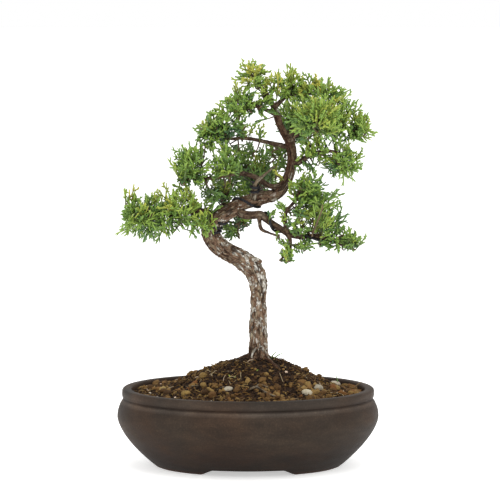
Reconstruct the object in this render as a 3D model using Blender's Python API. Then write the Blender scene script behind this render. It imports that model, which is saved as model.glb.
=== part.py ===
"""Juniper bonsai in an unglazed oval pot.

An S-curved juniper wired for training, planted on a mound of gritty soil in a 10 inch
oval clay pot on four feet. Every solid piece is one object.

Frame: metres, +Z up, +X to the right of someone who faces the tree, front at -Y. The
origin is on the table under the middle of the pot. Lists of points are in millimetres.
"""
import math
import random

import bmesh
import bpy
from mathutils import Matrix, Vector, noise

MM = 0.001
CLEARANCE = 0.3 * MM  # air between pieces that touch in the real object

# Pot
POT_LENGTH = 254 * MM  # across the belly, side to side
POT_WIDTH = 203 * MM  # across the belly, front to back
POT_HEIGHT = 76 * MM
WALL = 8 * MM
FLOOR = 7 * MM
BELLY_HEIGHT = 49 * MM  # height of the widest line
FOOT_INSET = 37.5 * MM  # how far the wall has drawn in where it meets the table
NECK_INSET = 6.3 * MM  # groove under the rim band
RIM_BAND = 9.5 * MM  # height of the band
RIM_INSET = 4.5 * MM  # from the belly line to the face of the band
RIM_WIDTH = 9 * MM  # across the top of the band
RIM_ROUNDING = 1 * MM  # at the inner edge of the rim's top
FOOT_HEIGHT = 6 * MM
FOOT_WIDTH = 13 * MM
FRONT_GAP = 89 * MM  # between the two front feet, along the table
END_GAP = 34 * MM  # between the two feet at one end
FOOT_SLOPE = 9 * MM  # run of the slope at the end of each foot
DRAIN_HOLE = 20 * MM
DRAIN_SPACING = 112 * MM
POT_SIDES = 48

# Drainage screens, on the floor of the pot over the holes
SCREEN_CELLS = 5
SCREEN_SIZE = 34 * MM
SCREEN_BAR = 1.2 * MM
SCREEN_WIRE = 1.0 * MM
SCREEN_WIRE_TAIL = 8 * MM

# Soil
SOIL_DROP = 5.5 * MM  # from the rim down to the edge of the soil
MOUND_RISE = 34.5 * MM  # from the edge of the soil up to the foot of the tree
MOUND_ROUGHNESS = 1.2 * MM

# Tree. Its points below are written in millimetres from the middle of the pot and from
# the soil at the trunk, for a tree of the drawn height and spread.
DRAWN_HEIGHT = 290
DRAWN_SPREAD = 252
TREE_HEIGHT = 290 * MM  # soil to apex
TREE_SPREAD = 252 * MM  # across the canopy
TRUNK_X = 9.7 * MM
WIRE_DIAMETER = 2.5 * MM
COIL_AIR = 0.6 * MM  # between a training wire and the bark that it wraps
TRUNK_SIDES = 12
LIMB_SIDES = 8
WIRE_SIDES = 6
POINTS_PER_TURN = 14

RIM_TOP = POT_HEIGHT
FLOOR_TOP = FOOT_HEIGHT + FLOOR
NECK_HEIGHT = POT_HEIGHT - RIM_BAND
SOIL_EDGE = POT_HEIGHT - SOIL_DROP
COLLAR = SOIL_EDGE + MOUND_RISE
TRUNK_FOOT = Vector((TRUNK_X, 0, COLLAR))


# --- Objects, materials and cuts ------------------------------------------------------


def material(name, colour, roughness, metallic=0.0):
    """A Principled material, made once for each name."""
    found = bpy.data.materials.get(name)
    if found:
        return found
    made = bpy.data.materials.new(name)
    made.use_nodes = True
    shader = made.node_tree.nodes["Principled BSDF"]
    shader.inputs["Base Color"].default_value = (*colour, 1.0)
    shader.inputs["Roughness"].default_value = roughness
    shader.inputs["Metallic"].default_value = metallic
    return made


CLAY = ("fired_clay", (0.075, 0.058, 0.047), 0.72)
SOIL = ("potting_soil", (0.045, 0.030, 0.018), 0.95)
BARK = ("juniper_bark", (0.20, 0.15, 0.11), 0.85)
FOLIAGE = ("juniper_foliage", (0.10, 0.19, 0.045), 0.6)
WIRE = ("anodised_wire", (0.02, 0.02, 0.022), 0.4, 0.9)
MESH = ("screen_plastic", (0.03, 0.03, 0.03), 0.6)


def add_object(name, shape, look=None):
    """Turn a bmesh into a named object; without a look it is a hidden cutter."""
    bmesh.ops.recalc_face_normals(shape, faces=shape.faces)
    mesh = bpy.data.meshes.new(name)
    shape.to_mesh(mesh)
    shape.free()
    made = bpy.data.objects.new(name, mesh)
    bpy.context.scene.collection.objects.link(made)
    if look is None:
        made.hide_render = True
        made.display_type = "WIRE"
    else:
        mesh.materials.append(material(*look))
        mesh.shade_smooth()
        mesh.set_sharp_from_angle(angle=math.radians(40))
    return made


def combine(target, other, operation):
    step = target.modifiers.new(f"{operation} {other.name}", "BOOLEAN")
    step.operation = operation
    step.solver = "EXACT"
    step.object = other


def carve(target, cutter):
    combine(target, cutter, "DIFFERENCE")


def weld(target, other):
    combine(target, other, "UNION")


def box_shape(low, high):
    shape = bmesh.new()
    size = [b - a for a, b in zip(low, high)]
    middle = [(a + b) / 2 for a, b in zip(low, high)]
    matrix = Matrix.Translation(middle) @ Matrix.Diagonal((*size, 1))
    bmesh.ops.create_cube(shape, size=1, matrix=matrix)
    return shape


def loft(rings):
    """Skin a list of rings of points that all have the same number of points."""
    shape = bmesh.new()
    loops = [[shape.verts.new(point) for point in ring] for ring in rings]
    for lower, upper in zip(loops, loops[1:]):
        count = len(lower)
        for i in range(count):
            j = (i + 1) % count
            shape.faces.new((lower[i], lower[j], upper[j], upper[i]))
    shape.faces.new(reversed(loops[0]))
    shape.faces.new(loops[-1])
    return shape


# --- Pot -------------------------------------------------------------------------------


def oval(inset, height, centre=(0, 0), share=1.0):
    """One level ring, drawn in from the belly line by inset, scaled about a centre."""
    ring = []
    for i in range(POT_SIDES):
        angle = math.tau * i / POT_SIDES
        x = (POT_LENGTH / 2 - inset) * math.cos(angle)
        y = (POT_WIDTH / 2 - inset) * math.sin(angle)
        x = centre[0] + (x - centre[0]) * share
        y = centre[1] + (y - centre[1]) * share
        ring.append(Vector((x, y, height)))
    return ring


def wall_inset(height):
    """The outer wall: a full curve under the belly and a short shoulder over it."""
    if height <= BELLY_HEIGHT:
        return FOOT_INSET * ((BELLY_HEIGHT - height) / BELLY_HEIGHT) ** 1.6
    share = (height - BELLY_HEIGHT) / (NECK_HEIGHT - BELLY_HEIGHT)
    return NECK_INSET * share**2.2


def levels(low, high, count):
    return [low + (high - low) * i / (count - 1) for i in range(count)]


def outer_profile():
    """(inset, height) from the table up to the middle of the rim's top."""
    lower = [(wall_inset(z), z) for z in levels(0, BELLY_HEIGHT, 7)]
    shoulder = [(wall_inset(z), z) for z in levels(BELLY_HEIGHT, NECK_HEIGHT, 5)[1:]]
    lip = 1.5 * MM
    band = [
        (RIM_INSET + 0.3 * MM, NECK_HEIGHT + lip),
        (RIM_INSET, NECK_HEIGHT + RIM_BAND / 2),
        (RIM_INSET + 0.3 * MM, RIM_TOP - lip),
        (RIM_INSET + lip, RIM_TOP),
    ]
    return lower + shoulder + band


def rim_inside(height):
    """Inset of the inside of the rim, which runs straight from its top to the neck."""
    top = RIM_TOP - RIM_ROUNDING
    neck = wall_inset(NECK_HEIGHT) + WALL
    return neck + (RIM_INSET + RIM_WIDTH - neck) * (height - NECK_HEIGHT) / (top - NECK_HEIGHT)


def inner_profile(top, air=0.0):
    """(inset, height) of the inside, from the top down to the floor; air draws it in."""
    heights = levels(NECK_HEIGHT, FLOOR_TOP, 6)
    wall = [(wall_inset(z) + WALL + air, z) for z in heights]
    wall[-1] = (wall[-1][0], FLOOR_TOP + (CLEARANCE if air else 0.0))
    return [(rim_inside(top) + air, top)] + wall


def make_pot():
    foot_inner = FOOT_INSET + FOOT_WIDTH
    underside = [(foot_inner + 3 * MM, FOOT_HEIGHT), (foot_inner, 0)]
    rim_edge = [(RIM_INSET + RIM_WIDTH - RIM_ROUNDING, RIM_TOP)]
    profile = underside + outer_profile() + rim_edge + inner_profile(RIM_TOP - RIM_ROUNDING)
    pot = add_object("pot", loft([oval(*point) for point in profile]), CLAY)
    carve(pot, foot_gap_cutter("front_gap_cutter", FRONT_GAP, "Y"))
    carve(pot, foot_gap_cutter("end_gap_cutter", END_GAP, "X"))
    for side, x in drain_places():
        carve(pot, drain_cutter(f"drain_cutter_{side}", x))
    return pot


def foot_gap_cutter(name, width, axis):
    """A long bar with sloping sides, under the pot along one axis."""
    reach = POT_LENGTH
    half = width / 2
    outline = [
        (-half - FOOT_SLOPE / 6, -1 * MM),
        (half + FOOT_SLOPE / 6, -1 * MM),
        (half - FOOT_SLOPE, FOOT_HEIGHT),
        (-half + FOOT_SLOPE, FOOT_HEIGHT),
    ]
    if axis == "Y":
        ends = [[Vector((u, y, z)) for u, z in outline] for y in (-reach, reach)]
    else:
        ends = [[Vector((x, u, z)) for u, z in outline] for x in (-reach, reach)]
    return add_object(name, loft(ends))


def drain_places():
    return (("left", -DRAIN_SPACING / 2), ("right", DRAIN_SPACING / 2))


def drain_cutter(name, x):
    shape = bmesh.new()
    bmesh.ops.create_cone(
        shape,
        cap_ends=True,
        segments=24,
        radius1=DRAIN_HOLE / 2,
        radius2=DRAIN_HOLE / 2,
        depth=FLOOR * 3,
        matrix=Matrix.Translation((x, 0, FOOT_HEIGHT + FLOOR / 2)),
    )
    return add_object(name, shape)


def make_screen(side, x):
    """A square of coarse plastic mesh over one drainage hole."""
    bottom = FLOOR_TOP + CLEARANCE
    middle = bottom + SCREEN_BAR / 2
    shape = bmesh.new()
    bmesh.ops.create_grid(
        shape,
        x_segments=SCREEN_CELLS,
        y_segments=SCREEN_CELLS,
        size=SCREEN_SIZE / 2,
        matrix=Matrix.Translation((x, 0, middle)),
    )
    screen = add_object(f"drainage_screen_{side}", shape, MESH)
    bars = screen.modifiers.new("bars", "WIREFRAME")
    bars.thickness = SCREEN_BAR
    bars.use_even_offset = False
    bars.use_boundary = True
    return screen


def make_screen_wire(side, x):
    """A staple that comes up through the hole, crosses the screen and goes back down."""
    leg = SCREEN_SIZE / SCREEN_CELLS
    high = FLOOR_TOP + SCREEN_BAR + 2 * CLEARANCE + SCREEN_WIRE / 2
    low = FOOT_HEIGHT - CLEARANCE - SCREEN_WIRE / 2
    bend = SCREEN_WIRE
    half = [
        Vector((leg + SCREEN_WIRE_TAIL, 0, low)),
        Vector((leg + bend, 0, low)),
        Vector((leg, 0, low + bend)),
        Vector((leg, 0, high - bend)),
        Vector((leg - bend, 0, high)),
    ]
    other = [Vector((-p.x, 0, p.z)) for p in reversed(half)]
    path = [Vector((x, 0, 0)) + p for p in half + other]
    radii = [SCREEN_WIRE / 2] * len(path)
    return add_object(f"screen_wire_{side}", tube(path, radii, WIRE_SIDES), WIRE)


# --- Soil and pebbles --------------------------------------------------------------------


def mound_share(x, y):
    """0 at the trunk, 1 at the edge of the soil, along a straight line between them."""
    inset = rim_inside(SOIL_EDGE)
    a = POT_LENGTH / 2 - inset
    b = POT_WIDTH / 2 - inset
    dx = x - TRUNK_X
    dy = y
    qa = (dx / a) ** 2 + (dy / b) ** 2
    if qa == 0:
        return 0.0
    qb = 2 * TRUNK_X * dx / a**2
    qc = (TRUNK_X / a) ** 2 - 1
    reach = (-qb + math.sqrt(qb * qb - 4 * qa * qc)) / (2 * qa)
    return min(1.0, 1 / reach)


def soil_height(x, y):
    share = mound_share(x, y)
    rough = noise.noise(Vector((x, y, 0)) / (14 * MM)) * MOUND_ROUGHNESS
    rough *= math.sin(math.pi * share)
    return SOIL_EDGE + MOUND_RISE * math.cos(math.pi * share / 2) ** 2 + rough


def make_soil(screens):
    """The mound, filling the pot down to its floor."""
    air = 1.5 * CLEARANCE
    sides = inner_profile(SOIL_EDGE, air)
    rings = [oval(inset, height) for inset, height in reversed(sides)]
    edge = sides[0][0]
    for share in (0.88, 0.74, 0.6, 0.46, 0.32, 0.2, 0.08):
        ring = oval(edge, 0, (TRUNK_X, 0), share)
        for point in ring:
            point.z = soil_height(point.x, point.y)
        rings.append(ring)
    soil = add_object("soil", loft(rings), SOIL)
    for side, x in drain_places():
        carve(soil, screens[side])
    return soil


def screen_pocket(side, x):
    """The room that one screen and its wire take up under the soil."""
    half = SCREEN_SIZE / 2 + SCREEN_BAR + CLEARANCE
    top = FLOOR_TOP + SCREEN_BAR + SCREEN_WIRE + 4 * CLEARANCE
    low = (x - half, -half, FLOOR_TOP - CLEARANCE)
    high = (x + half, half, top)
    return add_object(f"screen_pocket_{side}", box_shape(low, high))


# Larger pebbles on the surface: place in shares of the pot's half length and half width,
# then length, width and thickness in millimetres, turn in degrees and stone colour.
PEBBLES = (
    (-0.16, -0.59, 11, 7, 6, 20, "pale"),
    (0.495, -0.54, 12, 8, 7, -12, "pale"),
    (0.59, -0.375, 12, 9, 8, 40, "pale"),
    (-0.52, -0.52, 12, 9, 7, 10, "tan"),
    (-0.72, -0.18, 11, 8, 6, 75, "tan"),
    (-0.38, -0.22, 10, 8, 7, 130, "tan"),
    (-0.30, -0.66, 9, 8, 7, 60, "brown"),
    (0.45, -0.36, 11, 8, 6, 25, "brown"),
    (0.74, -0.14, 12, 9, 6, 150, "tan"),
    (0.33, 0.42, 11, 9, 7, 15, "brown"),
    (-0.36, 0.52, 12, 8, 7, 80, "tan"),
    (0.745, 0.10, 13, 8, 7, 15, "pale"),
)
STONE_COLOURS = {
    "pale": ("pale_stone", (0.52, 0.48, 0.40), 0.7),
    "tan": ("tan_stone", (0.30, 0.21, 0.11), 0.8),
    "brown": ("brown_stone", (0.16, 0.10, 0.055), 0.8),
}


def pebble_shape(index, grow=0.0):
    """A rounded lump, flattened and turned, resting a third of its depth in the soil."""
    along, across, length, width, depth, turn, _ = PEBBLES[index]
    x = along * (POT_LENGTH / 2 - RIM_INSET - RIM_WIDTH)
    y = across * (POT_WIDTH / 2 - RIM_INSET - RIM_WIDTH)
    size = Vector((length, width, depth)) * MM / 2 + Vector((grow, grow, grow))
    centre = Vector((x, y, soil_height(x, y) + depth * MM / 6))
    dice = random.Random(index)
    shape = bmesh.new()
    bmesh.ops.create_icosphere(shape, subdivisions=1, radius=1)
    for vert in shape.verts:
        bump = noise.noise(vert.co * 1.4 + Vector((index * 7.0, 0, 0)))
        vert.co *= 1 + 0.16 * bump
    tilt = Matrix.Rotation(math.radians(dice.uniform(-14, 14)), 4, "X")
    matrix = Matrix.Translation(centre) @ Matrix.Rotation(math.radians(turn), 4, "Z") @ tilt
    bmesh.ops.transform(shape, matrix=matrix @ Matrix.Diagonal((*size, 1)), verts=shape.verts)
    return shape


def make_pebbles(soil):
    for index, row in enumerate(PEBBLES):
        add_object(f"pebble_{index + 1:02d}", pebble_shape(index), STONE_COLOURS[row[-1]])
        socket = add_object(f"pebble_socket_{index + 1:02d}", pebble_shape(index, CLEARANCE))
        carve(soil, socket)


# --- Limbs and wires ---------------------------------------------------------------------


def tree(x, y, z):
    """A point of the drawn tree, at the tree's real height and spread."""
    wide = TREE_SPREAD / DRAWN_SPREAD
    tall = TREE_HEIGHT / DRAWN_HEIGHT if z > 0 else MM
    return Vector((TRUNK_X + (x - 9.7) * wide, y * wide, COLLAR + z * tall))


def smooth(values, steps):
    """Catmull-Rom through the values, which may be vectors or numbers."""
    padded = [values[0] * 2 - values[1]] + list(values) + [values[-1] * 2 - values[-2]]
    out = []
    for a, b, c, d in zip(padded, padded[1:], padded[2:], padded[3:]):
        for i in range(steps):
            t = i / steps
            bend = (a * -1 + b * 3 - c * 3 + d) * t**3
            bend += (a * 2 - b * 5 + c * 4 - d) * t**2
            out.append((bend + (c - a) * t + b * 2) * 0.5)
    out.append(values[-1])
    return out


def frames(path):
    """Two steady cross directions at each point, carried along without twist."""
    found = []
    side = None
    for i, point in enumerate(path):
        ahead = path[min(i + 1, len(path) - 1)] - path[max(i - 1, 0)]
        ahead.normalize()
        if side is None:
            side = ahead.cross(Vector((0, 1, 0)))
            if side.length < 0.1:
                side = ahead.cross(Vector((1, 0, 0)))
        side = (side - ahead * side.dot(ahead)).normalized()
        found.append((side, ahead.cross(side)))
    return found


def tube(path, radii, sides):
    rings = []
    for point, radius, (side, up) in zip(path, radii, frames(path)):
        ring = []
        for i in range(sides):
            angle = math.tau * i / sides
            ring.append(point + (side * math.cos(angle) + up * math.sin(angle)) * radius)
        rings.append(ring)
    return loft(rings)


class Limb:
    """A tapering woody stem: points (x, y, z, radius) in millimetres of the drawn tree."""

    def __init__(self, name, points, parent=None, wired=False, steps=2, sides=LIMB_SIDES):
        self.name = name
        self.parent = parent
        self.sides = sides
        self.sleeve = CLEARANCE
        if wired:
            self.sleeve += WIRE_DIAMETER + COIL_AIR + CLEARANCE
        self.path = smooth([tree(x, y, z) for x, y, z, _ in points], steps)
        girth = min(TREE_HEIGHT / DRAWN_HEIGHT, TREE_SPREAD / DRAWN_SPREAD)
        self.radii = [r * girth for r in smooth([float(row[3]) for row in points], steps)]

    def shape(self, grow=0.0):
        path = list(self.path)
        if grow:
            path[0] = path[0] + (path[0] - path[1]).normalized() * grow
            path[-1] = path[-1] + (path[-1] - path[-2]).normalized() * grow
        return tube(path, [radius + grow for radius in self.radii], self.sides)

    def place(self, share):
        """Point, radius and cross directions at a share of the limb's length."""
        at = share * (len(self.path) - 1)
        i = min(int(at), len(self.path) - 2)
        t = at - i
        point = self.path[i].lerp(self.path[i + 1], t)
        radius = self.radii[i] * (1 - t) + self.radii[i + 1] * t
        side = self.cross[i][0].lerp(self.cross[i + 1][0], t).normalized()
        up = self.cross[i][1].lerp(self.cross[i + 1][1], t).normalized()
        return point, radius, side, up

    def cutter(self, grow, label):
        name = f"{self.name}_{label}_cutter"
        return bpy.data.objects.get(name) or add_object(name, self.shape(grow))

    def build(self):
        self.cross = frames(self.path)
        made = add_object(self.name, self.shape(), BARK)
        if self.parent:
            carve(made, self.parent.cutter(CLEARANCE, "bark"))
        return made


TRUNK = (
    (9.7, 0, -26, 7),
    (9.7, 0, -14, 11.5),
    (9.7, 0, -4, 12),
    (9.7, 0, 6, 9.6),
    (9.7, -1, 26, 8.4),
    (10.2, -2, 52, 7.4),
    (9.8, -2, 72, 8.6),
    (4, -2, 87.5, 9.5),
    (-9, -2, 98, 8.9),
    (-22, -1, 104.5, 8.7),
    (-32, 0, 112.5, 8.9),
    (-36, 1, 122, 8.5),
    (-34, 1, 130, 8.2),
    (-28, 0, 137, 7.5),
    (-14.5, -1, 144.5, 7),
    (-2, -2, 151, 6.6),
    (13.5, -2, 155, 6),
    (27, -1, 159.5, 5.8),
    (35.5, 0, 168.5, 5.4),
    (40.6, 1, 181, 5.0),
    (42.5, 2, 194, 4.5),
    (40.6, 2, 206, 4.2),
    (36, 2, 216, 3.9),
    (30, 1, 227, 3.5),
    (26.5, 0, 238, 3.0),
    (21, 0, 250, 2.4),
    (12, 0, 264, 1.7),
    (5, 0, 278, 1.0),
)

# name, parent, wired, points
LIMBS = (
    ("branch_lower_left", "trunk", True, (
        (-29, 0, 136, 4.4), (-43, -3, 141.5, 3.9), (-61, -6, 143.5, 3.4), (-73, -9, 140.5, 3.0),
        (-86, -11, 144, 2.6), (-98, -12, 145, 2.1), (-113, -13, 148, 1.2))),
    ("branch_mid_left", "trunk", False, (
        (35, 0, 168, 3.0), (22, -4, 167, 2.6), (6, -5, 176, 2.4), (-9, -5, 179.5, 2.1),
        (-32, -6, 175.5, 1.8), (-47, -7, 174, 1.4), (-58, -8, 176, 1.0))),
    ("branch_upper_left", "trunk", False, (
        (40.8, 2, 204, 2.4), (22, 5, 208, 2.0), (8, 7, 211, 1.8), (-5, 8, 212.5, 1.6),
        (-18, 8, 212, 1.4), (-32, 8, 216, 1.2), (-43, 8, 222, 0.9))),
    ("branch_lower_right", "trunk", True, (
        (-11, -1, 145, 4.2), (-4, -7, 140, 4.1), (5, -10, 139.5, 3.9), (12, -10, 140, 3.7),
        (17, -10, 136, 3.5), (23, -10, 131.5, 3.3), (31, -10, 126.5, 3.1),
        (39, -10, 121.5, 2.9), (50, -10, 119, 2.6), (66, -9, 119, 2.3), (79, -8, 115, 1.9),
        (91, -8, 111.5, 1.5), (102, -8, 111, 1.0))),
    ("branch_mid_right", "trunk", False, (
        (41.5, 1.5, 187, 3.1), (50, -4, 190.5, 2.7), (60, -7, 197, 2.4), (76, -8, 201, 1.8),
        (92, -8, 198, 1.1))),
    ("branch_upper_right", "trunk", False, (
        (37, 2, 214, 3.0), (54, 5, 222, 2.5), (73, 8, 228, 2.1), (90, 8, 224, 1.6),
        (104, 8, 219, 1.0))),
    ("branch_crown_left", "trunk", False, (
        (27, 0, 236, 2.0), (13, -3, 242, 1.6), (-2, -4, 246, 1.3), (-15, -4, 248, 0.9))),
    ("branch_crown_right", "trunk", False, (
        (25, 0, 242, 2.3), (38, 3, 254, 2.0), (55, 5, 260, 1.6), (72, 6, 260, 1.0))),
    ("branch_crown_front", "trunk", False, (
        (39, 2, 210, 2.6), (48, -13, 217, 2.3), (57, -27, 225, 1.9), (62, -42, 231, 1.1))),
    ("branch_crown_back", "trunk", False, (
        (42.2, 2, 197, 3.0), (41, 20, 203, 2.6), (39, 38, 214, 2.0), (37, 54, 222, 1.1))),
    ("branch_back", "trunk", False, (
        (13.5, -2, 155, 3.8), (12, 16, 160, 3.3), (9, 34, 168, 2.6), (6, 52, 174, 1.8),
        (4, 66, 176, 1.1))),
    ("branch_arm", "trunk", False, (
        (-20, -1, 141, 2.8), (-23, 9, 148, 2.3), (-26, 16, 156, 1.8), (-30, 18, 163, 1.1))),
    ("twig_under_arm", "trunk", False, (
        (-13, -1, 145, 2.4), (-9, 8, 138, 1.8), (-6, 14, 133, 1.4), (-5, 18, 128, 0.9))),
    ("pruned_stub", "trunk", True, (
        (5, -2, 152.5, 3.6), (5.4, -9, 158.5, 3.2), (6.4, -13, 165, 2.8), (8, -15, 171, 1.8),
        (16, -15, 179, 1.2), (26, -15, 187, 0.8))),
    ("rising_shoot", "branch_lower_right", False, (
        (38, -10, 122, 2.3), (35.6, -14, 132, 2.0), (36, -16, 142, 1.8), (41, -16, 149, 1.6),
        (47, -15, 156, 1.4), (51, -14, 167, 0.9))),
    ("hanging_twig", "branch_lower_right", False, (
        (38, -10, 122, 2.2), (41, -13, 113, 1.6), (40, -15, 104, 1.2), (38, -16, 96, 0.8))),
    ("broken_twig", "branch_lower_right", False, (
        (11, -10, 140, 2.2), (11.2, -13, 133, 1.9), (13, -15, 126.5, 1.6), (20, -16, 123, 1.3),
        (28, -16, 120, 0.9))),
)

ROOTS = 5
ROOT_REACH = 30 * MM
ROOT_RADIUS = 4.2 * MM


def root_shape(index, grow=0.0):
    """One surface root, running out and down from the flare of the trunk."""
    angle = math.tau * (index + 0.35) / ROOTS
    out = Vector((math.cos(angle), math.sin(angle), 0))
    path = []
    radii = []
    for i in range(5):
        share = i / 4
        drop = 5 * MM + share * 9 * MM
        path.append(TRUNK_FOOT + out * (4 * MM + share * ROOT_REACH) - Vector((0, 0, drop)))
        radii.append(ROOT_RADIUS * (1 - 0.7 * share) + grow)
    path[-1] = path[-1] + out * grow
    return tube(path, radii, WIRE_SIDES)


def make_trunk(soil):
    """Trunk with its root flare and the broken stub on its elbow, let into the soil."""
    trunk = Limb("trunk", TRUNK, wired=True, sides=TRUNK_SIDES)
    made = trunk.build()
    stub = (1, -5, 92, 3.2), (7, -8, 96.5, 2.4), (13, -10, 94, 1.6)
    weld(made, add_object("elbow_stub", Limb("elbow_stub", stub).shape()))
    carve(soil, trunk.cutter(CLEARANCE, "bark"))
    for index in range(ROOTS):
        weld(made, add_object(f"root_{index + 1}", root_shape(index)))
        carve(soil, add_object(f"root_socket_{index + 1}", root_shape(index, CLEARANCE)))
    return trunk


def make_limbs(trunk):
    limbs = {"trunk": trunk}
    for name, parent, wired, points in LIMBS:
        limbs[name] = Limb(name, points, limbs[parent], wired)
        limbs[name].build()
    return limbs


# name, limb, from and to as shares of the limb's length, turns, starting turn
WIRES = (
    ("wire_trunk_bend", "trunk", 0.40, 0.46, 1.5, 0.31),
    ("wire_trunk_arm", "trunk", 0.47, 0.585, 1.2, 0.3125),
    ("wire_lower_left", "branch_lower_left", 0.30, 0.80, 2.4, 0.5),
    ("wire_lower_right", "branch_lower_right", 0.28, 0.78, 1.6, 0.9375),
    ("wire_stub", "pruned_stub", 0.34, 0.58, 2.0, 0.06),
)


def make_wire(name, limb, start, end, turns, phase):
    """A training wire coiled round a limb, a hair clear of the bark, also in a tight bend."""
    count = round(turns * POINTS_PER_TURN)
    path = []
    for i in range(count + 1):
        point, radius, side, up = limb.place(start + (end - start) * i / count)
        angle = math.tau * (phase + turns * i / count)
        reach = radius + COIL_AIR + WIRE_DIAMETER / 2
        path.append(point + (side * math.cos(angle) + up * math.sin(angle)) * reach)
    radii = [WIRE_DIAMETER / 2] * len(path)
    wire = add_object(name, tube(path, radii, WIRE_SIDES), WIRE)
    carve(wire, limb.cutter(CLEARANCE, "bark"))


# --- Foliage -------------------------------------------------------------------------------

# Each pad is a few rounded lumps: centre x, y, z, then half sizes, in millimetres of the
# drawn tree. A pad makes room for the pads that come before it.
PADS = (
    ("foliage_apex", ((4, 0, 267, 15, 20, 20), (36, 2, 263, 19, 22, 15), (18, 0, 255, 15, 20, 13))),
    ("foliage_crown_left", ((-10, -3, 244, 17, 21, 13), (-25, -2, 234, 13, 19, 12),
                            (-11, 1, 228, 13, 17, 13))),
    ("foliage_crown_right", ((66, 2, 254, 21, 27, 17), (86, 4, 246, 16, 20, 14))),
    ("foliage_crown_front", ((64, -42, 234, 25, 20, 20),)),
    ("foliage_crown_back", ((47, 54, 226, 20, 22, 21),)),
    ("foliage_upper_right", ((84, 10, 227, 22, 26, 17), (104, 8, 223, 17, 21, 16))),
    ("foliage_mid_right", ((91, -8, 190, 19, 23, 18), (66, -4, 204, 16, 18, 12))),
    ("foliage_upper_left", ((-33, 8, 217, 19, 23, 16),)),
    ("foliage_mid_left", ((-53, -8, 188, 21, 26, 20), (-25, -8, 190, 17, 24, 15))),
    ("foliage_centre", ((3, 34, 184, 25, 20, 17), (24, 24, 191, 15, 16, 17))),
    ("foliage_back", ((6, 66, 168, 27, 20, 17),)),
    ("foliage_arm", ((-25, 18, 161, 22, 20, 12),)),
    ("foliage_under_arm", ((-6, 17, 133, 10, 11, 8),)),
    ("foliage_bend", ((-19, 12, 121, 9, 9, 9),)),
    ("foliage_lower_left", ((-95, -13, 137, 29, 29, 21), (-64, -12, 145, 22, 28, 19),
                            (-46, -24, 133, 14, 13, 14))),
    ("foliage_rising_shoot", ((55, -14, 164, 18, 20, 15),)),
    ("foliage_lower_right", ((70, -10, 136, 21, 25, 19), (90, -9, 116, 22, 20, 11),
                             (56, -16, 133, 15, 18, 14))),
    ("foliage_hanging", ((38, -16, 104, 10, 12, 12), (54, -14, 110, 12, 12, 8))),
)


def lump_shape(lump, grow=0.0):
    x, y, z, half_x, half_y, half_z = lump
    wide = TREE_SPREAD / DRAWN_SPREAD
    tall = TREE_HEIGHT / DRAWN_HEIGHT
    size = [half_x * wide + grow, half_y * wide + grow, half_z * tall + grow]
    shape = bmesh.new()
    matrix = Matrix.Translation(tree(x, y, z)) @ Matrix.Diagonal((*size, 1))
    bmesh.ops.create_icosphere(shape, subdivisions=2, radius=1, matrix=matrix)
    return shape


def near(one, other, gap):
    """Whether the boxes of two objects come within a gap of each other."""
    spans = []
    for made in (one, other):
        points = [v.co for v in made.data.vertices]
        spans.append([(min(p[k] for p in points), max(p[k] for p in points)) for k in range(3)])
    return all(a[0] - gap < b[1] and b[0] - gap < a[1] for a, b in zip(*spans))


def make_foliage(limbs):
    rooms = []
    for name, lumps in PADS:
        pad = add_object(name, lump_shape(lumps[0]), FOLIAGE)
        parts = [pad]
        for index, lump in enumerate(lumps[1:]):
            extra = add_object(f"{name}_lump_{index + 2}", lump_shape(lump))
            weld(pad, extra)
            parts.append(extra)
        for room in rooms:
            if any(near(part, room, 0) for part in parts):
                carve(pad, room)
        for limb in limbs.values():
            sleeve = limb.cutter(limb.sleeve, "sleeve")
            if any(near(part, sleeve, 0) for part in parts):
                carve(pad, sleeve)
        for index, lump in enumerate(lumps):
            rooms.append(add_object(f"{name}_room_{index + 1}", lump_shape(lump, CLEARANCE)))


# --- Assembly --------------------------------------------------------------------------------


def main():
    for old in list(bpy.data.objects):
        bpy.data.objects.remove(old, do_unlink=True)
    make_pot()
    pockets = {}
    for side, x in drain_places():
        make_screen(side, x)
        make_screen_wire(side, x)
        pockets[side] = screen_pocket(side, x)
    soil = make_soil(pockets)
    make_pebbles(soil)
    trunk = make_trunk(soil)
    limbs = make_limbs(trunk)
    for name, limb, start, end, turns, phase in WIRES:
        make_wire(name, limbs[limb], start, end, turns, phase)
    make_foliage(limbs)


main()
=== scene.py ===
"""Looks of a juniper bonsai in an unglazed oval pot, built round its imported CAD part.

Everything is in metres in the frame of the part: +Z up, front of the tree at -Y. Lists of
points are in millimetres of the drawn tree, measured from the pot's middle and the soil.
"""
import math
from functools import partial

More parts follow.
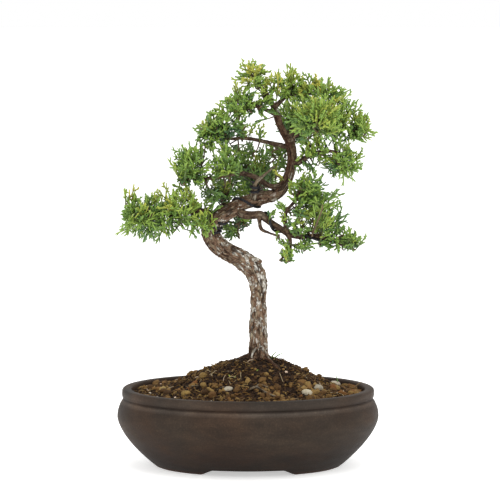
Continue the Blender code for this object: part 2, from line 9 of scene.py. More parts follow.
import bpy
import numpy as np
from bpy.props import FloatProperty, FloatVectorProperty, IntProperty, PointerProperty
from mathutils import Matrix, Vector


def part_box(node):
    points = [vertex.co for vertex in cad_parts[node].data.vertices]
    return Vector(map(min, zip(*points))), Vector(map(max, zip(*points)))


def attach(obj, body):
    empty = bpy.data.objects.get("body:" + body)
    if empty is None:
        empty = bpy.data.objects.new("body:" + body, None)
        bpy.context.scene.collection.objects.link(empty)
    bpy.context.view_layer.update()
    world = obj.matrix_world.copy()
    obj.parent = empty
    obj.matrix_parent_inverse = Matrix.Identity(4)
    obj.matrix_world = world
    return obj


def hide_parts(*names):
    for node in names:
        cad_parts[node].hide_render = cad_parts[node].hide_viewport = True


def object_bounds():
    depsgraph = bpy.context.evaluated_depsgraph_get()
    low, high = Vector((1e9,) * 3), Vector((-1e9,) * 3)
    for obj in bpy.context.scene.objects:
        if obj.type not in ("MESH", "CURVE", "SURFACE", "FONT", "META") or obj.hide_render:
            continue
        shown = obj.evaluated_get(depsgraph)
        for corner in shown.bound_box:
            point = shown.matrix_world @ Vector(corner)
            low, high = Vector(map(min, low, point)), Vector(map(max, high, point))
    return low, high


bl_info = {
    "name": "Juniper bonsai looks",
    "version": (1, 0, 0),
    "blender": (4, 5, 0),
    "location": "3D View > Sidebar > Bonsai",
    "description": "Builds the looks of a juniper bonsai in an oval pot round its CAD part",
    "category": "Object",
}

MM = 0.001
APART = 50  # how far apart in the noise loose bits are read, so that no two match
MAP_NAME = "OFBake"
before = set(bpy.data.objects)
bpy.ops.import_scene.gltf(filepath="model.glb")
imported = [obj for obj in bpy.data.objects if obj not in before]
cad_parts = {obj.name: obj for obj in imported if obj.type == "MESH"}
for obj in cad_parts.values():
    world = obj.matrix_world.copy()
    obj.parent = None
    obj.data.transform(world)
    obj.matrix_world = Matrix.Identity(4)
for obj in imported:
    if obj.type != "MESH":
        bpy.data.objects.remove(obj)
CAD_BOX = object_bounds()


# --- Numbers in bulk ---


def unit(vectors):
    """Each vector made one metre long."""
    length = np.linalg.norm(vectors, axis=-1, keepdims=True)
    return vectors / np.maximum(length, 1e-12)


def xyz(x, y, z=0.0):
    """Points from their three numbers, each one number or an array."""
    return np.stack(np.broadcast_arrays(x, y, z), -1)


def dot(a, b):
    """Dot product of each pair of vectors, kept as a column."""
    return np.sum(a * b, axis=-1, keepdims=True)


def lattice(cells, seed):
    """A steady number from 0 to 1 for every whole-number place."""
    mixed = cells[..., 0] * 374761393 + cells[..., 1] * 668265263 + cells[..., 2] * 69069
    mixed = (mixed + seed * 144665) & 0xFFFFFFFF
    mixed = ((mixed ^ (mixed >> 13)) * 1274126177) & 0xFFFFFFFF
    return (mixed ^ (mixed >> 16)) / 0xFFFFFFFF


def wave(points, seed=0):
    """Smooth noise from -1 to 1, with one hill or hollow to a unit."""
    cells = np.floor(points).astype(np.int64)
    part = points - cells
    part = part * part * (3 - 2 * part)
    total = 0.0
    for corner in np.ndindex(2, 2, 2):
        share = np.prod(np.where(corner, part, 1 - part), axis=-1)
        total = total + share * lattice(cells + np.array(corner), seed)
    return total * 2 - 1


def rough(points, octaves=4, seed=0):
    """Noise from about -1 to 1 with finer and finer detail."""
    total = 0.0
    for step in range(octaves):
        total = total + wave(points * 2**step, seed + step) * 0.5**step
    return total / 1.6


def smooth(values, steps):
    """A smooth curve through the rows of values, with that many steps between them."""
    values = np.asarray(values, float)
    padded = np.vstack((values[:1] * 2 - values[1:2], values, values[-1:] * 2 - values[-2:-1]))
    a, b, c, d = (padded[i : len(padded) - 3 + i, None] for i in range(4))
    t = (np.arange(steps) / steps)[None, :, None]
    curve = (3 * b - a - 3 * c + d) * t**3 + (2 * a - 5 * b + 4 * c - d) * t**2
    curve = (curve + (c - a) * t + 2 * b) / 2
    return np.vstack((curve.reshape(-1, values.shape[1]), values[-1:]))


def frames(paths):
    """Two cross directions at every point of every path, carried along without twist."""
    ahead = unit(np.gradient(paths, axis=1))
    side = np.cross(ahead[:, 0], (0.0, 1.0, 0.0))
    short = np.linalg.norm(side, axis=1) < 0.1
    side[short] = np.cross(ahead[short, 0], (1.0, 0.0, 0.0))
    sides = []
    for k in range(paths.shape[1]):
        side = unit(side - ahead[:, k] * dot(side, ahead[:, k]))
        sides.append(side)
    sides = np.stack(sides, axis=1)
    return sides, np.cross(ahead, sides)


def sweep(paths, radii, sides):
    """Rings round every path: radii by path and point, or by path, point and side."""
    side, up = frames(paths)
    angle = math.tau * np.arange(sides) / sides
    spoke = side[:, :, None] * np.cos(angle)[:, None] + up[:, :, None] * np.sin(angle)[:, None]
    if radii.ndim == 2:
        radii = radii[..., None]
    return paths[:, :, None] + spoke * radii[..., None]


# --- Meshes ---


def new_mesh(name, points, faces):
    """A mesh from points and groups of faces; one group has one number of corners."""
    counts = np.concatenate([np.full(len(group), group.shape[1]) for group in faces])
    corners = np.concatenate([group.ravel() for group in faces])
    mesh = bpy.data.meshes.new(name)
    mesh.vertices.add(len(points))
    mesh.vertices.foreach_set("co", points.astype(np.float32).ravel())
    mesh.loops.add(len(corners))
    mesh.loops.foreach_set("vertex_index", corners.astype(np.int32))
    mesh.polygons.add(len(counts))
    mesh.polygons.foreach_set("loop_start", (np.cumsum(counts) - counts).astype(np.int32))
    mesh.update(calc_edges=True)
    mesh.shade_smooth()
    return mesh


def skin_faces(shape, first=0):
    """Faces over stacks of rings of that shape (tubes, rings, sides), ends closed."""
    tubes, levels, sides = shape
    at = np.arange(tubes * levels * sides).reshape(shape) + first
    beside = np.roll(at, -1, axis=2)
    walls = (at[:, :-1], beside[:, :-1], beside[:, 1:], at[:, 1:])
    ends = np.concatenate((at[:, 0, ::-1], at[:, -1]))
    return [np.stack(walls, axis=-1).reshape(-1, 4), ends]


def tube_mesh(name, rings):
    """A closed mesh over rings of shape (tubes, rings, sides, 3)."""
    return new_mesh(name, rings.reshape(-1, 3), skin_faces(rings.shape[:3]))


def copied_faces(faces, copies, points_each):
    """Faces of many copies of one shape, whose points follow on from each other."""
    return (faces[None] + np.arange(copies)[:, None, None] * points_each).reshape(-1, 3)


def join(parts):
    """One set of points and faces from several (points, faces) pairs."""
    points = []
    faces = []
    first = 0
    for some, groups in parts:
        points.append(some.reshape(-1, 3))
        faces.extend(group + first for group in groups)
        first += len(points[-1])
    return np.concatenate(points), faces


def set_values(mesh, name, values):
    """Store one number, or one vector, for each point of the mesh."""
    if values.ndim == 1:
        layer = mesh.attributes.new(name, "FLOAT", "POINT")
        layer.data.foreach_set("value", values.astype(np.float32))
    else:
        layer = mesh.attributes.new(name, "FLOAT_VECTOR", "POINT")
        layer.data.foreach_set("vector", values.astype(np.float32).ravel())


def pairs(first, second):
    """Rows of (first, second) after both are stretched to one shape."""
    return np.stack(np.broadcast_arrays(first, second), -1).reshape(-1, 2)


def set_uv(mesh, places):
    """Store the place of each point on the piece's map."""
    corners = np.empty(len(mesh.loops), np.int32)
    mesh.loops.foreach_get("vertex_index", corners)
    layer = mesh.uv_layers.new(name=MAP_NAME)
    layer.uv.foreach_set("vector", places[corners].astype(np.float32).ravel())


def new_object(name, data):
    """A thing in the scene that shows a mesh, a lamp or a camera."""
    thing = bpy.data.objects.new(name, data)
    bpy.context.scene.collection.objects.link(thing)
    return thing


def add_piece(name, mesh, material, nodes=()):
    """Show a mesh as a piece of the object, in place of those CAD nodes."""
    piece = new_object(name, mesh)
    mesh.materials.clear()
    mesh.materials.append(material)
    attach(piece, "root")
    if nodes:
        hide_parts(*nodes)
    return piece


def cad_triangles(node):
    """Corners of the triangles of a CAD node, as an array (triangle, corner, 3)."""
    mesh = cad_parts[node].data
    mesh.calc_loop_triangles()
    points = np.empty(len(mesh.vertices) * 3)
    mesh.vertices.foreach_get("co", points)
    corners = np.empty(len(mesh.loop_triangles) * 3, np.int32)
    mesh.loop_triangles.foreach_get("vertices", corners)
    return points.reshape(-1, 3)[corners].reshape(-1, 3, 3)


# --- Materials ---


def colour(code):
    """Linear colour from a hex colour as seen on a screen."""
    parts = [int(code[i : i + 2], 16) / 255 for i in (1, 3, 5)]
    linear = [p / 12.92 if p <= 0.04045 else ((p + 0.055) / 1.055) ** 2.4 for p in parts]
    return (*linear, 1.0)


def connect(node, inputs):
    """Give each input its value, or the socket that it comes from."""
    for key, value in inputs.items():
        if isinstance(value, bpy.types.NodeSocket):
            node.id_data.links.new(value, node.inputs[key])
        else:
            node.inputs[key].default_value = value


def add_node(tree, kind, inputs, out=0, stops=(), **settings):
    """One node with its settings and links; gives back one of its outputs.

    A colour ramp also gets its stops, each a place from 0 to 1 and a colour.
    """
    node = tree.nodes.new("ShaderNode" + kind)
    for key, value in settings.items():
        setattr(node, key, value)
    connect(node, inputs)
    if stops:
        marks = node.color_ramp.elements
        while len(marks) < len(stops):
            marks.new(0.5)
        for mark, (place, shade) in zip(marks, stops):
            mark.position = place
            mark.color = colour(shade) if isinstance(shade, str) else shade
    return node.outputs[out]


def blotches(place, size, detail=4.0, roughness=0.55):
    """What cloudy noise needs to have blotches about that many metres across."""
    return {"Vector": place, "Scale": 1 / size, "Detail": detail, "Roughness": roughness}


def new_material(name):
    """A material, its shader and the function that adds nodes to it."""
    material = bpy.data.materials.new(name)
    material.use_nodes = True
    tree = material.node_tree
    return material, tree.nodes["Principled BSDF"], partial(add_node, tree)


MIXED = {"out": 2, "data_type": "RGBA"}  # for a node that mixes two colours
POT_HEIGHT = 76 * MM
MATT = 0.15  # little mirror light, as dry clay, soil and bark throw back


def unglazed_clay(clay):
    """Grey-brown stoneware, pressed in a mould, wiped by hand and fired without a glaze."""
    material, shader, add = new_material("unglazed fired clay")
    place = add("TexCoord", {}, "Object")
    wiped = add("Mapping", {"Vector": place, "Scale": (1, 1, 2.6)})
    height = add("SeparateXYZ", {"Vector": place}, "Z")
    share = add("MapRange", {"Value": height, "From Max": POT_HEIGHT})
    # painted shade: darker towards the feet, where the belly faces away from the light above,
    # and warm brown at the very foot, where it stood on the kiln shelf
    body = add("ValToRGB", {"Fac": share}, stops=(
        (0.0, "#5a3b26"), (0.05, "#312419"), (0.25, "#38291e"), (0.5, clay), (0.8, "#514338"),
        # painted highlight: a pale line just under the neck, and the rim band made lighter;
        # painted shade: a dark line in the groove under the rim band
        (0.85, "#776b61"), (0.875, "#4a3d34"), (0.93, "#5e5248"), (1.0, "#564b42")))
    for strength, pattern, tones in (
        # smears a few fingers wide, drawn out sideways by the wiping cloth
        (0.6, blotches(wiped, 38 * MM, 6.0, 0.6),
         ((0.32, "#453d36"), (0.5, "#7c746c"), (0.68, "#b0a79c"))),
        # the kiln's flame leaves it warm in one spot and cool in another
        (0.5, blotches(place, 80 * MM, 2.0), ((0.4, "#95785c"), (0.6, "#72787d"))),
        # fine grog that shows through the wiped face
        (0.35, blotches(place, 1.6 * MM, 3.0),
         ((0.34, "#4f4d4b"), (0.55, "#85827e"), (0.72, "#d0ccc6"))),
    ):
        tint = add("ValToRGB", {"Fac": add("TexNoise", pattern)}, stops=tones)
        body = add("Mix", {0: strength, 6: body, 7: tint}, blend_type="OVERLAY", **MIXED)
    cloud = add("TexNoise", blotches(wiped, 20 * MM))
    finish = add("MapRange", {"Value": cloud, "To Min": 0.5, "To Max": 0.72})
    grain = add("TexNoise", blotches(place, 0.9 * MM, 5.0))
    grain = add("Bump", {"Height": grain, "Distance": 0.25 * MM, "Strength": 0.6})
    connect(shader, {
        "Base Color": body, "Roughness": finish, "Specular IOR Level": MATT, "Normal": grain})
    return material


def dark_peat():
    """Damp peaty potting soil, laid by hand: dark, with crumbs that stand up."""
    material, shader, add = new_material("damp peaty soil")
    place = add("TexCoord", {}, "Object")
    cloud = add("TexNoise", blotches(place, 6 * MM, 8.0, 0.7))
    body = add("ValToRGB", {"Fac": cloud}, stops=(
        (0.3, "#1b130c"), (0.5, "#33241a"), (0.62, "#4a3522"), (0.75, "#6d5535")))
    crumbs = add("TexNoise", blotches(place, 1.6 * MM, 6.0, 0.7))
    crumbs = add("Bump", {"Height": crumbs, "Distance": 1.2 * MM, "Strength": 1.0})
    connect(shader, {
        "Base Color": body, "Roughness": 0.9, "Specular IOR Level": MATT, "Normal": crumbs})
    return material


def broken_bits(name, tones, grain_size, roughness=0.85):
    """Loose bits that differ: each has its own tone, from the row of colours."""
    material, shader, add = new_material(name)
    place = add("TexCoord", {}, "Object")
    tone = add("Attribute", {}, "Fac", attribute_name="tone")
    body = add("ValToRGB", {"Fac": tone}, stops=tones)
    cloud = add("TexNoise", blotches(place, grain_size, 5.0, 0.65))
    mottle = add("ValToRGB", {"Fac": cloud}, stops=(
        (0.3, "#4c4640"), (0.5, "#808080"), (0.72, "#c2beb6")))
    body = add("Mix", {0: 0.55, 6: body, 7: mottle}, blend_type="OVERLAY", **MIXED)
    relief = add("Bump", {"Height": cloud, "Distance": 0.5 * MM, "Strength": 1.0})
    connect(shader, {
        "Base Color": body, "Roughness": roughness, "Specular IOR Level": 0.2, "Normal": relief})
    return material


PLATE = 3.0 * MM  # width of a plate of old bark


def juniper_bark(name, strips, flakes, crack_and_recess_shade):
    """Stringy juniper bark: strips along the stem, plates of grey flakes where it is old."""
    material, shader, add = new_material(name)
    grain = add("Attribute", {}, "Vector", attribute_name="grain")
    relief = add("Attribute", {}, "Fac", attribute_name="relief")
    age = add("Attribute", {}, "Fac", attribute_name="age")
    body = add("TexNoise", blotches(grain, 3.2 * MM, 6.0, 0.62))
    body = add("ValToRGB", {"Fac": body}, stops=strips)
    grey = add("TexNoise", blotches(grain, 1.6 * MM))
    grey = add("ValToRGB", {"Fac": grey}, stops=flakes)
    # each plate has its own tone; the older the bark, the more of them are grey
    cloud = add("TexNoise", blotches(grain, 1.8 * MM, 3.0, 0.5), "Color")
    ragged = add("VectorMath", {0: cloud, 1: (2.4 * MM,) * 3, 2: grain}, operation="MULTIPLY_ADD")
    plates = {"Vector": add("Mapping", {"Vector": ragged, "Scale": (1, 1, 1.5)}), "Scale": 1 / PLATE}
    lot = add("SeparateXYZ", {"Vector": add("TexVoronoi", plates, "Color")})
    lot = add("Math", {0: lot, 1: age}, operation="ADD")
    lot = add("ValToRGB", {"Fac": lot}, stops=((0.76, "#000000"), (0.86, "#ffffff")))
    # dark gaps between the plates; the deep parts of the strips darker the deeper they lie:
    # dark inner bark there, and painted shade in the recesses
    gap = add("TexVoronoi", plates, "Distance", feature="DISTANCE_TO_EDGE")
    gap = add("ValToRGB", {"Fac": gap}, stops=((0.0, "#d8d8d8"), (0.10, "#000000")))
    deep = add("ValToRGB", {"Fac": relief}, stops=((0.12, "#f0f0f0"), (0.38, "#000000")))
    # young wood, and wood close to the soil, is darker
    young = add("MapRange", {"Value": age, "From Min": -0.2, "From Max": 0.0})
    young = add("ValToRGB", {"Fac": young}, stops=((0.0, "#a5968e"), (1.0, "#ffffff")))
    dark = colour(crack_and_recess_shade)
    for share, tint, kind in (
            (lot, grey, "MIX"), (gap, dark, "MIX"), (deep, dark, "MIX"), (1.0, young, "MULTIPLY")):
        body = add("Mix", {0: share, 6: body, 7: tint}, blend_type=kind, **MIXED)
    fine = add("TexNoise", blotches(grain, 1.1 * MM, 6.0, 0.7))
    fine = add("Bump", {"Height": fine, "Distance": 0.5 * MM, "Strength": 0.8})
    connect(shader, {
        "Base Color": body, "Roughness": 0.85, "Specular IOR Level": MATT, "Normal": fine})
    return material


def scale_leaves():
    """Young juniper shoots covered in scale leaves, brown where they turn to wood.

    The map's first number is the tone of the shoot and its second runs from wood to tip.
    """
    material, shader, add = new_material("juniper scale leaves")
    place = add("UVMap", {}, uv_map=MAP_NAME)
    tone = add("SeparateXYZ", {"Vector": place}, "X")
    ripe = add("SeparateXYZ", {"Vector": place}, "Y")
    # bare twigs up to 0.1, then blue-green in the shade to yellow-green in the sun
    wood = add("ValToRGB", {"Fac": tone}, stops=(
        (0.0, "#34261a"), (0.09, "#5e4632"), (0.13, "#2c3820"), (0.45, "#3d4c22"),
        (0.75, "#5a6229"), (1.0, "#7d7630")))
    tips = add("ValToRGB", {"Fac": tone}, stops=(
        (0.0, "#46341f"), (0.09, "#76603e"), (0.13, "#4f7350"), (0.35, "#66893e"),
        (0.6, bpy.context.scene.bonsai_foliage.leaf), (0.8, "#b0b146"), (1.0, "#d6c350")))
    ripe = add("ValToRGB", {"Fac": ripe}, stops=((0.1, "#000000"), (0.85, "#ffffff")))
    body = add("Mix", {0: ripe, 6: wood, 7: tips}, **MIXED)
    connect(shader, {"Base Color": body, "Roughness": 0.5})
    return material


def clouded(name, size, tones, detail, finish, metal=0.0):
    """One stuff in cloudy tones; its finish is one number, or a pair that follows the tones."""
    material, shader, add = new_material(name)
    cloud = add("TexNoise", blotches(add("TexCoord", {}, "Object"), size, detail))
    if isinstance(finish, tuple):
        finish = add("MapRange", {"Value": cloud, "To Min": finish[0], "To Max": finish[1]})
    body = add("ValToRGB", {"Fac": cloud}, stops=tones)
    connect(shader, {"Base Color": body, "Metallic": metal, "Roughness": finish})
    return material


# Bare aluminium staple wire, drawn and then dulled by damp.
STAPLE_WIRE = (
    "dull aluminium staple", 1.5 * MM, ((0.35, "#86868a"), (0.7, "#b4b4b6")), 4.0, 0.45, 0.9)
# Black moulded plastic screen with dried soil on it.
SCREEN = ("moulded black screen", 5 * MM, ((0.4, "#1c1c1c"), (0.75, "#3a3129")), 4.0, 0.55)

MADE = {}  # materials made so far


def made(maker, *details):
    """A material that several pieces share is made once."""
    key = (maker.__name__, *details[:1])
    if key not in MADE:
        MADE[key] = maker(*details)
    return MADE[key]


# --- Tree: stems ---

TRUNK_X = 9.7  # trunk to the right of the pot's middle
BURIED = 26.0  # length of trunk under the soil

# Points of each stem: right, back, height, radius.
TRUNK = (
    (9.7, 0, -26, 7), (9.7, 0, -14, 11.5), (9.7, 0, -4, 12), (9.7, 0, 6, 9.6),
    (9.7, -1, 26, 8.4), (10.2, -2, 52, 7.4), (9.8, -2, 72, 8.6), (4, -2, 87.5, 9.5),
    (-9, -2, 98, 8.9), (-22, -1, 104.5, 8.7), (-32, 0, 112.5, 8.9), (-36, 1, 122, 8.5),
    (-34, 1, 130, 8.2), (-28, 0, 137, 7.5), (-14.5, -1, 144.5, 7), (-2, -2, 151, 6.6),
    (13.5, -2, 155, 6), (27, -1, 159.5, 5.8), (35.5, 0, 168.5, 5.4), (40.6, 1, 181, 5.0),
    (42.5, 2, 194, 4.5), (40.6, 2, 206, 4.2), (36, 2, 216, 3.9), (30, 1, 227, 3.5),
    (26.5, 0, 238, 3.0), (21, 0, 250, 2.4), (12, 0, 264, 1.7), (5, 0, 278, 1.0),
)
ELBOW_STUB = ((1, -5, 92, 3.2), (7, -8, 96.5, 2.4), (13, -10, 94, 1.6))

LIMBS = {
    "branch_lower_left": (
        (-29, 0, 136, 4.4), (-43, -3, 141.5, 3.9), (-61, -6, 143.5, 3.4), (-73, -9, 140.5, 3.0),
        (-86, -11, 144, 2.6), (-98, -12, 145, 2.1), (-113, -13, 148, 1.2)),
    "branch_mid_left": (
        (35, 0, 168, 3.0), (22, -4, 167, 2.6), (6, -5, 176, 2.4), (-9, -5, 179.5, 2.1),
        (-32, -6, 175.5, 1.8), (-47, -7, 174, 1.4), (-58, -8, 176, 1.0)),
    "branch_upper_left": (
        (40.8, 2, 204, 2.4), (22, 5, 208, 2.0), (8, 7, 211, 1.8), (-5, 8, 212.5, 1.6),
        (-18, 8, 212, 1.4), (-32, 8, 216, 1.2), (-43, 8, 222, 0.9)),
    "branch_lower_right": (
        (-11, -1, 145, 4.2), (-4, -7, 140, 4.1), (5, -10, 139.5, 3.9), (12, -10, 140, 3.7),
        (17, -10, 136, 3.5), (23, -10, 131.5, 3.3), (31, -10, 126.5, 3.1),
        (39, -10, 121.5, 2.9), (50, -10, 119, 2.6), (66, -9, 119, 2.3), (79, -8, 115, 1.9),
        (91, -8, 111.5, 1.5), (102, -8, 111, 1.0)),
    "branch_mid_right": (
        (41.5, 1.5, 187, 3.1), (50, -4, 190.5, 2.7), (60, -7, 197, 2.4), (76, -8, 201, 1.8),
        (92, -8, 198, 1.1)),
    "branch_upper_right": (
        (37, 2, 214, 3.0), (54, 5, 222, 2.5), (73, 8, 228, 2.1), (90, 8, 224, 1.6),
        (104, 8, 219, 1.0)),
    "branch_crown_left": (
        (27, 0, 236, 2.0), (13, -3, 242, 1.6), (-2, -4, 246, 1.3), (-15, -4, 248, 0.9)),
    "branch_crown_right": (
        (25, 0, 242, 2.3), (38, 3, 254, 2.0), (55, 5, 260, 1.6), (72, 6, 260, 1.0)),
    "branch_crown_front": (
        (39, 2, 210, 2.6), (48, -13, 217, 2.3), (57, -27, 225, 1.9), (62, -42, 231, 1.1)),
    "branch_crown_back": (
        (42.2, 2, 197, 3.0), (41, 20, 203, 2.6), (39, 38, 214, 2.0), (37, 54, 222, 1.1)),
    "branch_back": (
        (13.5, -2, 155, 3.8), (12, 16, 160, 3.3), (9, 34, 168, 2.6), (6, 52, 174, 1.8),
        (4, 66, 176, 1.1)),
    "branch_arm": (
        (-20, -1, 141, 2.8), (-23, 9, 148, 2.3), (-26, 16, 156, 1.8), (-30, 18, 163, 1.1)),
    "twig_under_arm": (
        (-13, -1, 145, 2.4), (-9, 8, 138, 1.8), (-6, 14, 133, 1.4), (-5, 18, 128, 0.9)),
    "pruned_stub": (
        (5, -2, 152.5, 3.6), (5.4, -9, 158.5, 3.2), (6.4, -13, 165, 2.8), (8, -15, 171, 1.8),
        (16, -15, 179, 1.2), (26, -15, 187, 0.8)),
    "rising_shoot": (
        (38, -10, 122, 2.3), (35.6, -14, 132, 2.0), (36, -16, 142, 1.8), (41, -16, 149, 1.6),
        (47, -15, 156, 1.4), (51, -14, 167, 0.9)),
    "hanging_twig": (
        (38, -10, 122, 2.2), (41, -13, 113, 1.6), (40, -15, 104, 1.2), (38, -16, 96, 0.8)),
    "broken_twig": (
        (11, -10, 140, 2.2), (11.2, -13, 133, 1.9), (13, -15, 126.5, 1.6), (20, -16, 123, 1.3),
        (28, -16, 120, 0.9)),
}

# limb, from and to as shares of the limb's length, turns, starting turn
WIRES = {
    "wire_trunk_bend": ("trunk", 0.40, 0.46, 1.5, 0.31),
    "wire_trunk_arm": ("trunk", 0.47, 0.585, 1.2, 0.3125),
    "wire_lower_left": ("branch_lower_left", 0.30, 0.80, 2.4, 0.5),
    "wire_lower_right": ("branch_lower_right", 0.28, 0.78, 1.6, 0.9375),
    "wire_stub": ("pruned_stub", 0.34, 0.58, 2.0, 0.06),
}
POINTS_PER_TURN = 14
WIRE_RADIUS = 1.25
COIL_AIR = 0.1


def trunk_foot():
    """Where the trunk meets the soil."""
    low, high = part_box("pot")
    middle = (low + high) / 2
    return np.array((middle.x + TRUNK_X * MM, middle.y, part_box("trunk")[0].z + BURIED * MM))


def stem(points, steps):
    """Path and radii of a stem in metres, from its points in the drawn tree."""
    rows = smooth(points, steps) * MM
    path = rows[:, :3] + trunk_foot() - (TRUNK_X * MM, 0, 0)
    return path, rows[:, 3]


YOUNG = -0.1  # age of the bark of a branch
RIGHT_SIDE_AGE = 0.12  # how much older, and so greyer, the bark is made on its right side


def bark_tube(points, steps, sides, seed, strip, old=None, flare=0.0):
    """A stem with stringy bark standing up from it, and what its material reads."""
    path, radii = stem(points, steps)
    step = np.linalg.norm(np.diff(path, axis=0), axis=1)
    along = np.concatenate(((0.0,), np.cumsum(step)))
    angle = math.tau * np.arange(sides) / sides
    ring = np.stack((np.cos(angle), np.sin(angle)), axis=-1)
    girth = radii[:, None, None] * ring[None]
    length = np.broadcast_to(along[:, None, None], (*girth.shape[:2], 1))
    around = np.concatenate((girth, length), axis=-1)
    lobes = wave(np.concatenate((ring[None] + 0 * girth, length / (30 * MM)), -1) * 1.4, seed)
    # deep splits and fine ones along the stem, then plates that lift and a fine grit
    coarse = rough(around / (3.4 * MM, 3.4 * MM, 15 * MM), 3, seed + 5)
    coarse = np.clip(1 - np.abs(coarse) * 7, 0, 1)
    fine = rough(around / (1.5 * MM, 1.5 * MM, 6 * MM), 3, seed + 9)
    fine = np.clip(1 - np.abs(fine) * 5, 0, 1)
    plates = np.floor(rough(around / (3.2 * MM, 3.2 * MM, 6 * MM), 3, seed + 13) * 5) / 5
    grit = rough(around / (0.9 * MM, 0.9 * MM, 2.2 * MM), 2, seed + 17)
    relief = np.clip(0.62 - 0.45 * coarse - 0.2 * fine + 0.55 * plates + 0.14 * grit, 0, 1)
    widen = 1 + flare * np.exp(-along / (5 * MM))
    reach = radii[:, None] * widen[:, None] * (1 + 0.09 * lobes) + strip * (relief - 0.45)
    age = old(path) if old else np.full(len(path), YOUNG)
    rings = sweep(path[None], reach[None], sides)
    # the right side of the trunk is made older and greyer
    aged = age[:, None] + (RIGHT_SIDE_AGE if old else 0) * (rings[0, :, :, 0] - path[:, :1]) / radii[:, None]
    grain = around * (1, 1, 0.42)
    return rings, skin_faces(rings.shape[:3]), grain.reshape(-1, 3), relief.ravel(), aged.ravel()


def bark_flakes(tube, count, seed):
    """Loose flakes of old bark that stand off the trunk and break its outline."""
    rings, _, _, _, aged = tube
    levels, sides = rings.shape[1:3]
    dice = np.random.default_rng(seed)
    k = dice.integers(int(levels * 0.12), int(levels * 0.62), count)
    j = dice.integers(0, sides, count)
    middle = rings[0].mean(axis=1)
    at = rings[0, k, j]
    out = unit(at - middle[k])
    ahead = unit(unit(middle[k + 1] - middle[k - 1]) + out * dice.normal(0, 0.16, (count, 1)))
    out = unit(out - ahead * dot(out, ahead))
    axes = np.stack((np.cross(ahead, out), ahead, out), axis=1)
    points, faces = ball(1)
    low, high = (0.7, 1.3, 0.25), (1.7, 3.6, 0.5)
    shape = points[None] * (dice.uniform(low, high, (count, 3)) * MM)[:, None]
    lumps = wave(points[None] * 2 + dice.random((count, 1, 3)) * APART, 7)
    shape = shape * (1 + 0.35 * lumps)[..., None]
    placed = np.einsum("nvk,nkj->nvj", shape, axes) + (at + out * 0.2 * MM)[:, None]
    every = copied_faces(faces, count, len(points))
    age = np.repeat(aged[k * sides + j] + dice.uniform(-0.1, 0.15, count), len(points))
    return placed, [every], placed.reshape(-1, 3), np.full(len(age), 0.6), age


def stem_piece(name, parts, material, nodes):
    """Join bark tubes into one piece."""
    points, faces = join([part[:2] for part in parts])
    mesh = new_mesh(name, points, faces)
    for index, layer in enumerate(("grain", "relief", "age")):
        set_values(mesh, layer, np.concatenate([part[index + 2] for part in parts]))
    add_piece(name, mesh, material, nodes)


def old_trunk(path):
    """How old the bark is: grey up to the elbow, redder along the arm, grey-brown above."""
    height = (path[:, 2] - trunk_foot()[2]) / MM
    right = (path[:, 0] - trunk_foot()[0]) / MM
    grey = np.interp(height, (0, 5, 16, 60, 92, 104), (-0.2, -0.1, 0.14, 0.18, 0.22, 0.05))
    young = np.interp(height, (104, 135, 160, 220), (-0.02, -0.05, -0.12, -0.2))
    return np.where((height > 104) | (right < -16), young, grey)


# Each bark: name, strips, grey flakes, and the dark of the cracks, also painted as shade in the deep
# strips.
TRUNK_BARK = (
    "stringy trunk bark",
    ((0.30, "#463326"), (0.40, "#68503f"), (0.50, "#7f6653"), (0.60, "#90806a"), (0.72, "#a89e86")),
    ((0.35, "#7a7164"), (0.48, "#a19a8c"), (0.62, "#dcd8d0")),
    "#2a1e16",
)
BRANCH_BARK = (
    "stringy branch bark",
    ((0.30, "#3a2c22"), (0.45, "#5a473a"), (0.58, "#75624f"), (0.72, "#93826c")),
    ((0.35, "#6b5f50"), (0.7, "#978a76")),
    "#2c2018",
)
GREY_WOOD = (
    "bare weathered wood",
    ((0.30, "#5c5042"), (0.5, "#857863"), (0.7, "#a49a84")),
    ((0.35, "#8d8677"), (0.7, "#bcb7a9")),
    "#33291f",
)


def root_points(angle, reach):
    """A surface root that runs out from the flare and dives into the soil."""
    out = np.array((math.cos(angle), math.sin(angle)))
    rows = []
    for share in (0.0, 0.3, 0.6, 1.0):
        x, y = out * (5 + share * reach)
        rows.append((TRUNK_X + x, y, 2.2 - 10 * share, 3.6 * (1 - 0.7 * share)))
    return rows


ROOTS = 5
# Thin bare roots that run down the front of the trunk's foot.
ROOT_STRANDS = (
    ((14, -9.3, 12.5, 0.7), (8, -9.8, 10.5, 0.8), (4.2, -9.6, 5, 0.9), (4, -11, 0.5, 0.9),
     (8, -14, -4, 0.6)),
    ((16, -8.6, 9, 0.5), (19, -8, 3, 0.7), (21, -9, -2, 0.6)),
)


def bleached(path):
    """Bare roots are weathered pale all along."""
    return np.full(len(path), 0.55)


def build_trunk(settings):
    """Trunk, elbow stub, surface roots and loose flakes, as one piece."""
    parts = [bark_tube(TRUNK, settings.steps, settings.sides, 3, 1.5 * MM, old_trunk)]
    parts.append(bark_tube(ELBOW_STUB, 10, 24, 8, 0.7 * MM, old_trunk))
    for index in range(ROOTS):
        points = root_points(math.tau * (index + 0.35) / ROOTS, 20 + 5 * (index % 3))
        parts.append(bark_tube(points, 10, 24, 20 + index, 0.8 * MM, old_trunk))
    parts.append(bark_flakes(parts[0], settings.flakes, 51))
    for index, points in enumerate(ROOT_STRANDS):
        parts.append(bark_tube(points, 8, 12, 30 + index, 0.1 * MM, bleached))
    stem_piece("trunk_bark", parts, made(juniper_bark, *TRUNK_BARK), ["trunk"])


def build_branches(settings):
    """A piece of bark for each branch and twig."""
    steps, sides = settings.steps // 2, settings.sides // 3
    for index, (name, points) in enumerate(LIMBS.items()):
        stub = name == "pruned_stub"
        look = made(juniper_bark, *(GREY_WOOD if stub else BRANCH_BARK))
        tube = bark_tube(points, steps, sides, 40 + index, 0.55 * MM, flare=0.25)
        stem_piece(f"{name}_bark", [tube], look, [name])


def between(rows, at):
    """Values read off the rows at places that may lie between two of them."""
    low = np.minimum(at.astype(int), len(rows) - 2)
    part = (at - low)[:, None]
    return rows[low] * (1 - part) + rows[low + 1] * part


